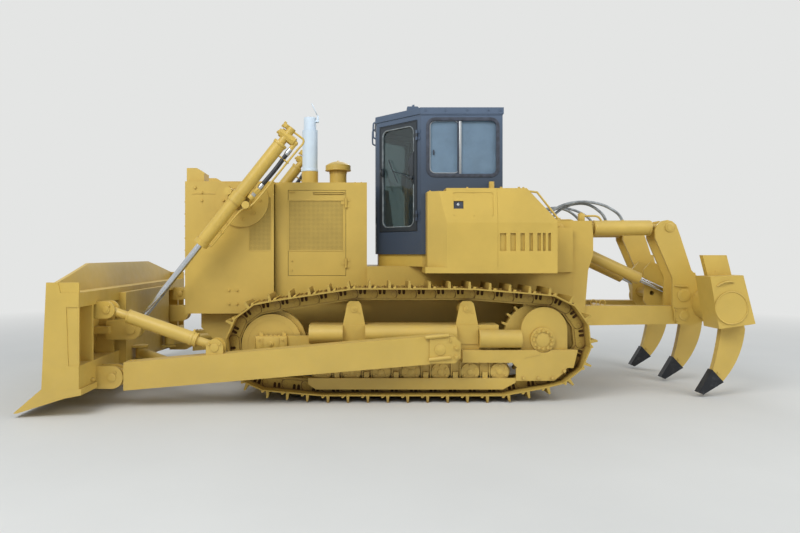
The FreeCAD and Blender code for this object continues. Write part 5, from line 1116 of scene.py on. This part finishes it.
LINK_TOP = ((2464.0, 1088.0), (2579.0, 1084.0))
RIPPER_FACE = 650.0
LIFT_PIN = (3544.0, 1190.0)
LINK_PIN = (3544.0, 937.0)
TILT_FRONT = (1988.0, 2029.0)
TILT_REAR = (3367.0, 2036.0)
SHANK_Y = (1000.0, 0.0)


def make_ripper_fittings():
    large = sizes().bolt_across / MM
    small = sizes().bolt_small / MM

    def rings(bm):
        for x, z in LINK_TOP:
            start = len(bm.verts)
            points = [(x + 38 * math.cos(math.radians(t)), 512, z + 38 * math.sin(math.radians(t)))
                      for t in range(-60, 241, 30)]
            tube(bm, points, 6)
            block(bm, x - 30, x + 30, 500, 524, z - 42, z - 28, 3)

    def tilt_block(bm):
        block(bm, 2273, 2345, 478, 547, 2104, 2217, 6)
        round_bar(bm, (2309, 512, 2216), (2309, 512, 2230), 16, 6)
        tube(bm, [(2345, 512, 2185), (2420, 512, 2185), (2500, 512, 2187), (2545, 512, 2160), (2566, 512, 2118)], 13)
        for x in (2628, 2818):
            y = 485 if x < 2700 else 540
            round_bar(bm, (x, y, 2100), (x, y, 2134), 20, 6)
        for run in (2460, 3150):
            round_bar(bm, (run, 512.5, 2032), (run + 26, 512.5, 2032), 99, 40, rounding=3)
        for turn in range(0, 360, 45):
            angle = math.radians(turn + 22.5)
            spot = Vector((3174, 512.5 + 80 * math.cos(angle), 2032 + 80 * math.sin(angle)))
            bolt(bm, spot, (1, 0, 0), small)

    def beam_pins(bm):
        for (x, z), radius in ((LIFT_PIN, 80), (LINK_PIN, 62), (TILT_REAR, 58)):
            round_bar(bm, (x, RIPPER_FACE - 1, z), (x, RIPPER_FACE + 12, z), radius, 40, rounding=3)
            round_bar(bm, (x, RIPPER_FACE + 11, z), (x, RIPPER_FACE + 16, z), radius * 0.6, 28)
        slab(bm, ((3424, 1300), (3440, 1318), (3590, 1306), (3598, 1290)), RIPPER_FACE - 1, RIPPER_FACE + 18, 3)
        for x in (3450, 3570):
            for z in (880, 1000):
                bolt(bm, (x, RIPPER_FACE, z), (0, 1, 0), small)
        block(bm, 3424, 3598, RIPPER_FACE - 1, RIPPER_FACE + 8, 1024, 1036, 2)
        block(bm, 3424, 3436, RIPPER_FACE - 1, RIPPER_FACE + 8, 862, 1036, 2)
        ring = rounded_outline(3625, 3999, 891, 1265, 187, 10)
        tube(bm, [(x, 1244, z) for x, z in ring + ring[:1]], 7, straight=True)
        tube(bm, [(3650, 1236, 1330), (3700, 1262, 1372), (3790, 1262, 1390), (3840, 1236, 1372)], 9)

    def bracket_pins(bm):
        for (x, z), radius in (((2165, 930), 70), (TILT_FRONT, 58)):
            round_bar(bm, (x, RIPPER_FACE - 1, z), (x, RIPPER_FACE + 12, z), radius, 40, rounding=3)
            bolt(bm, (x, RIPPER_FACE + 12, z), (0, 1, 0), large)

    def shank_pins(bm):
        for y in (1000,):
            for side in (-1, 1):
                round_bar(bm, (3768, y + side * 39, 292), (3768, y + side * 52, 292), 15, 20, rounding=3)
                round_bar(bm, (3700, y + side * 117, 1500), (3700, y + side * 100, 1500), 8, 8)

    pair("link_rings", rings, "ripper_link", "body_enamel")
    pair("tilt_valve_blocks", tilt_block, "ripper_tilt_SIDE", "body_enamel")
    pair("beam_pin_heads", beam_pins, "ripper_beam", "body_enamel")
    pair("bracket_pin_heads", bracket_pins, "root", "body_enamel")
    pair("shank_pins", shank_pins, "ripper_beam", "body_enamel")
    bm = bmesh.new()
    for side in (-1, 1):
        round_bar(bm, (3768, side * 39, 292), (3768, side * 52, 292), 15, 20, rounding=3)
    piece("middle_shank_pins", bm, "ripper_beam", "body_enamel")


# Cab's inside

SEAT_X = 560.0
SEAT_FLOOR = 1760.0


def cushion(name, corners_low, corners_high, crown):
    """A foam cushion under cloth: a rounded block, swollen by a cloth simulation, its sides drawn in."""
    bm = bmesh.new()
    x0, y0, z0 = corners_low
    x1, y1, z1 = corners_high
    block(bm, x0, x1, y0, y1, z0, z1, 28)
    bmesh.ops.subdivide_edges(bm, edges=bm.edges, cuts=3, use_grid_fill=True)
    bmesh.ops.scale(bm, vec=(MM, MM, MM), verts=bm.verts)
    bmesh.ops.recalc_face_normals(bm, faces=bm.faces)
    mesh = bpy.data.meshes.new(name)
    bm.to_mesh(mesh)
    bm.free()
    made = bpy.data.objects.new(name, mesh)
    bpy.context.scene.collection.objects.link(made)
    return made


def swell(made, cap):
    """Runs the cloth simulation on a cushion and keeps its result, no point moved by more than cap metres."""
    remesh = made.modifiers.new("remesh", "REMESH")
    remesh.mode = "VOXEL"
    remesh.voxel_size = 0.006
    apply_modifiers(made)
    start = [v.co.copy() for v in made.data.vertices]
    cloth = made.modifiers.new("cloth", "CLOTH")
    cloth.settings.use_pressure = True
    cloth.settings.uniform_pressure_force = 4.0
    cloth.settings.effector_weights.gravity = 0.0
    scene = bpy.context.scene
    for step in range(1, 21):
        scene.frame_set(step)
        made.evaluated_get(bpy.context.evaluated_depsgraph_get()).data.vertices[0]
    apply_modifiers(made)
    for vertex, was in zip(made.data.vertices, start):
        move = vertex.co - was
        if move.length > cap:
            vertex.co = was + move * (cap / move.length)
    scene.frame_set(1)
    smooth = made.modifiers.new("smooth", "SUBSURF")
    smooth.levels = smooth.render_levels = 1
    apply_modifiers(made)


def apply_modifiers(made):
    mesh = bpy.data.meshes.new_from_object(made.evaluated_get(bpy.context.evaluated_depsgraph_get()))
    made.modifiers.clear()
    old = made.data
    made.data = mesh
    bpy.data.meshes.remove(old)


def make_seat():
    bm = bmesh.new()
    block(bm, SEAT_X - 150, SEAT_X + 180, -180, 180, SEAT_FLOOR + 1, SEAT_FLOOR + 120, 12)
    for i in range(4):
        z = SEAT_FLOOR + 120 + 40 * i
        block(bm, SEAT_X - 140 + 8 * (i % 2), SEAT_X + 170 - 8 * (i % 2), -170, 170, z, z + 40, 10)
    block(bm, SEAT_X - 230, SEAT_X + 240, -230, 230, SEAT_FLOOR + 280, SEAT_FLOOR + 306, 8)
    slab(bm, ((SEAT_X + 200, 2066), (SEAT_X + 240, 2066), (SEAT_X + 432, 2790), (SEAT_X + 400, 2796),
              (SEAT_X + 330, 2560), (SEAT_X + 250, 2230)), -215, 215, 6)
    base = piece("seat_base", bm, "root", "console_plastic")
    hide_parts("operator_seat")

    # name, low corner, high corner, lean in degrees about the seat's joint
    parts = (("seat_cushion", (SEAT_X - 245, -240, 2074), (SEAT_X + 215, 240, 2176), 0.0),
             ("seat_back_cushion", (SEAT_X + 190, -228, 2196), (SEAT_X + 290, 228, 2786), 9.5))
    for name, low, high, degrees in parts:
        pad = cushion(name, low, high, 0)
        swell(pad, 0.022)
        if degrees:
            pivot = Matrix.Translation((0.79, 0, 2.18))
            pad.data.transform(pivot @ Matrix.Rotation(math.radians(degrees), 4, "Y") @ pivot.inverted())
        pad.data.shade_smooth()
        pad.data.materials.append(FINISHES["seat_cloth"])
        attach(pad, "root")
        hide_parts("operator_seat")


def make_controls():
    def levers(bm):
        for x in (400, 480, 700):
            round_bar(bm, (x, 400, 2280), (x - 20, 400, 2296), 34, 16, 22)
            tube(bm, [(x, 400, 2284), (x - 6, 398, 2360), (x - 26, 392, 2440)], 8)
            round_bar(bm, (x - 24, 393, 2430), (x - 34, 390, 2486), 17, 16, 23, rounding=5)

    pair("cab_levers", levers, "root", "seal_rubber")
    bm = bmesh.new()
    for y in (-120, -40, 40, 120):
        round_bar(bm, (-128, y, 2450), (-118, y, 2456), 30, 24, rounding=2)
    for i in range(6):
        block(bm, -108, -98, -140 + 50 * i, -116 + 50 * i, 2360, 2384, 2)
    piece("dash_gauges", bm, "root", "seal_rubber")


BACKGROUND = "#E4E5E4"
FLOOR_NEAR = 5.0
FLOOR_FAR = 15.0


def make_stage():
    """Floor, lights and the camera at the photograph's view."""
    scene = bpy.context.scene
    scene.view_settings.view_transform = "Standard"
    camera_data = bpy.data.cameras.new("camera")
    camera = bpy.data.objects.new("camera", camera_data)
    scene.collection.objects.link(camera)
    camera.location = (-0.485, -9.0, 1.703)
    camera.rotation_euler = (math.radians(90), 0, 0)
    camera_data.sensor_width = 36.0
    camera_data.lens = 30.105
    camera_data.shift_x = 0.04875
    camera_data.shift_y = -0.0156
    camera_data.clip_end = 200.0
    scene.camera = camera

    bm = bmesh.new()
    bmesh.ops.create_grid(bm, x_segments=1, y_segments=1, size=60.0)
    mesh = bpy.data.meshes.new("floor")
    bm.to_mesh(mesh)
    bm.free()
    floor = bpy.data.objects.new("floor", mesh)
    scene.collection.objects.link(floor)
    made, tree = new_material("floor_screed")
    place = add(tree, "TexCoord").outputs["Object"]
    patch = noise(tree, place, 1.5, 4.0).outputs["Fac"]
    base = tuple(colours().floor)
    tone = mix(tree, span(tree, patch, 0.3, 0.7), tuple(v * 0.96 for v in base), base)
    screed = add(tree, "BsdfPrincipled", {"Base Color": tone, "Roughness": 0.9})
    # Seen by the camera, the floor passes into the pale background far from the machine
    reach = add(tree, "VectorMath", {0: place}, operation="LENGTH").outputs["Value"]
    far = times(tree, span(tree, reach, FLOOR_NEAR, FLOOR_FAR), add(tree, "LightPath").outputs["Is Camera Ray"])
    haze = add(tree, "Emission", {"Color": rgba(linear(BACKGROUND)), "Strength": 1.0})
    both = add(tree, "MixShader", {"Fac": far})
    tree.links.new(screed.outputs[0], both.inputs[1])
    tree.links.new(haze.outputs[0], both.inputs[2])
    finish_material(tree, both)
    mesh.materials.append(made)

    world = bpy.data.worlds.new("studio")
    scene.world = world
    world.use_nodes = True
    tree = world.node_tree
    tree.nodes.clear()
    ray = add(tree, "LightPath")
    seen = times(tree, ray.outputs["Is Camera Ray"], ray.outputs["Is Glossy Ray"], "MAXIMUM")
    seen = times(tree, seen, ray.outputs["Is Transmission Ray"], "MAXIMUM")
    light = add(tree, "Background", {"Color": (0.86, 0.93, 1.0, 1.0), "Strength": 0.48})
    shown = add(tree, "Background", {"Color": rgba(linear(BACKGROUND)), "Strength": 1.0})
    both = add(tree, "MixShader", {"Fac": seen})
    tree.links.new(light.outputs[0], both.inputs[1])
    tree.links.new(shown.outputs[0], both.inputs[2])
    output = add(tree, "OutputWorld")
    tree.links.new(both.outputs[0], output.inputs["Surface"])

    # name, place, target, size, watts
    lamps = (("key_lamp", (-5.0, -9.0, 9.0), (0, 0, 1.0), 7.0, 840.0),
             ("fill_lamp", (8.0, -5.0, 6.0), (0.5, 0, 1.2), 6.0, 300.0),
             ("back_lamp", (2.0, 10.0, 9.0), (0, 0, 1.0), 7.0, 380.0))
    for name, at, target, size, watts in lamps:
        data = bpy.data.lights.new(name, "AREA")
        data.shape = "DISK"
        data.size = size
        data.energy = watts
        lamp = bpy.data.objects.new(name, data)
        lamp.location = at
        lamp.rotation_euler = (Vector(target) - Vector(at)).to_track_quat("-Z", "Y").to_euler()
        scene.collection.objects.link(lamp)


def dress_nodes():
    """Gives every CAD node its finish."""
    make_finishes()
    for name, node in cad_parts.items():
        finish = FINISHES[NODE_FINISH.get(name, "body_enamel")]
        if node.material_slots:
            for place in node.material_slots:
                place.material = finish
        else:
            node.data.materials.append(finish)


# Operators

OPERATORS = []


def operator(name, label, about, make):
    """Registers-to-be: one operator for a piece or a group of like pieces."""
    def execute(self, context):
        make()
        return {"FINISHED"}

    made = type("BULLDOZER_OT_" + name, (bpy.types.Operator,),
                {"bl_idname": "bulldozer." + name, "bl_label": label, "__doc__": about, "execute": execute})
    OPERATORS.append(made)


operator("stage", "Stage", "Makes the floor, the lights and the camera", make_stage)
operator("finishes", "Finishes", "Gives the machine's own plates and castings their finishes", dress_nodes)
operator("hoses", "Hoses", "Makes the hoses of the tilt and lift cylinders", make_hoses)
operator("chain", "Track chain", "Makes the sides, windows, bolts and lips of the track chain", make_chain)
operator("undercarriage", "Undercarriage", "Makes the bolts, caps and ribs of the undercarriage", make_undercarriage)
operator("blade_fittings", "Blade fittings", "Makes the pin heads, edge bolts and brace rings of the blade", make_blade_fittings)
operator("lift_fittings", "Lift cylinder fittings", "Makes the valve blocks, crimps and pipes of the lift cylinders", make_lift_fittings)
operator("panels", "Panels", "Makes the mesh sheets, latches and caps of the engine enclosure", make_panels)
operator("cab_trim", "Cab trim", "Makes the seals, sashes, handles and gutters of the cab", make_cab_trim)
operator("tank_trim", "Tank trim", "Makes the latches and fittings of the tanks", make_tank_trim)
operator("ripper_fittings", "Ripper fittings", "Makes the pin heads, rings and valve blocks of the ripper", make_ripper_fittings)
operator("seat", "Seat", "Makes the operator's seat with its two cushions", make_seat)
operator("controls", "Controls", "Makes the levers and gauges in the cab", make_controls)


class BULLDOZER_PT_panel(bpy.types.Panel):
    """Lists the machine's pieces, sizes and colours"""
    bl_idname = "BULLDOZER_PT_panel"
    bl_label = "Crawler Bulldozer"
    bl_space_type = "VIEW_3D"
    bl_region_type = "UI"
    bl_category = "Bulldozer"

    def draw(self, context):
        layout = self.layout
        for group in (context.scene.bulldozer_sizes, context.scene.bulldozer_colours):
            column = layout.column()
            for name in group.bl_rna.properties.keys():
                if name not in ("rna_type", "name"):
                    column.prop(group, name)
        for operator in OPERATORS:
            layout.operator(operator.bl_idname)


CLASSES = (BulldozerColours, BulldozerSizes, *OPERATORS, BULLDOZER_PT_panel)


def register():
    for made in CLASSES:
        bpy.utils.register_class(made)
    bpy.types.Scene.bulldozer_colours = PointerProperty(type=BulldozerColours)
    bpy.types.Scene.bulldozer_sizes = PointerProperty(type=BulldozerSizes)


def unregister():
    del bpy.types.Scene.bulldozer_sizes
    del bpy.types.Scene.bulldozer_colours
    for made in reversed(CLASSES):
        bpy.utils.unregister_class(made)


def main():
    register()
    for operator in OPERATORS:
        group, name = operator.bl_idname.split(".")
        getattr(getattr(bpy.ops, group), name)()


if __name__ == "__main__":
    main()
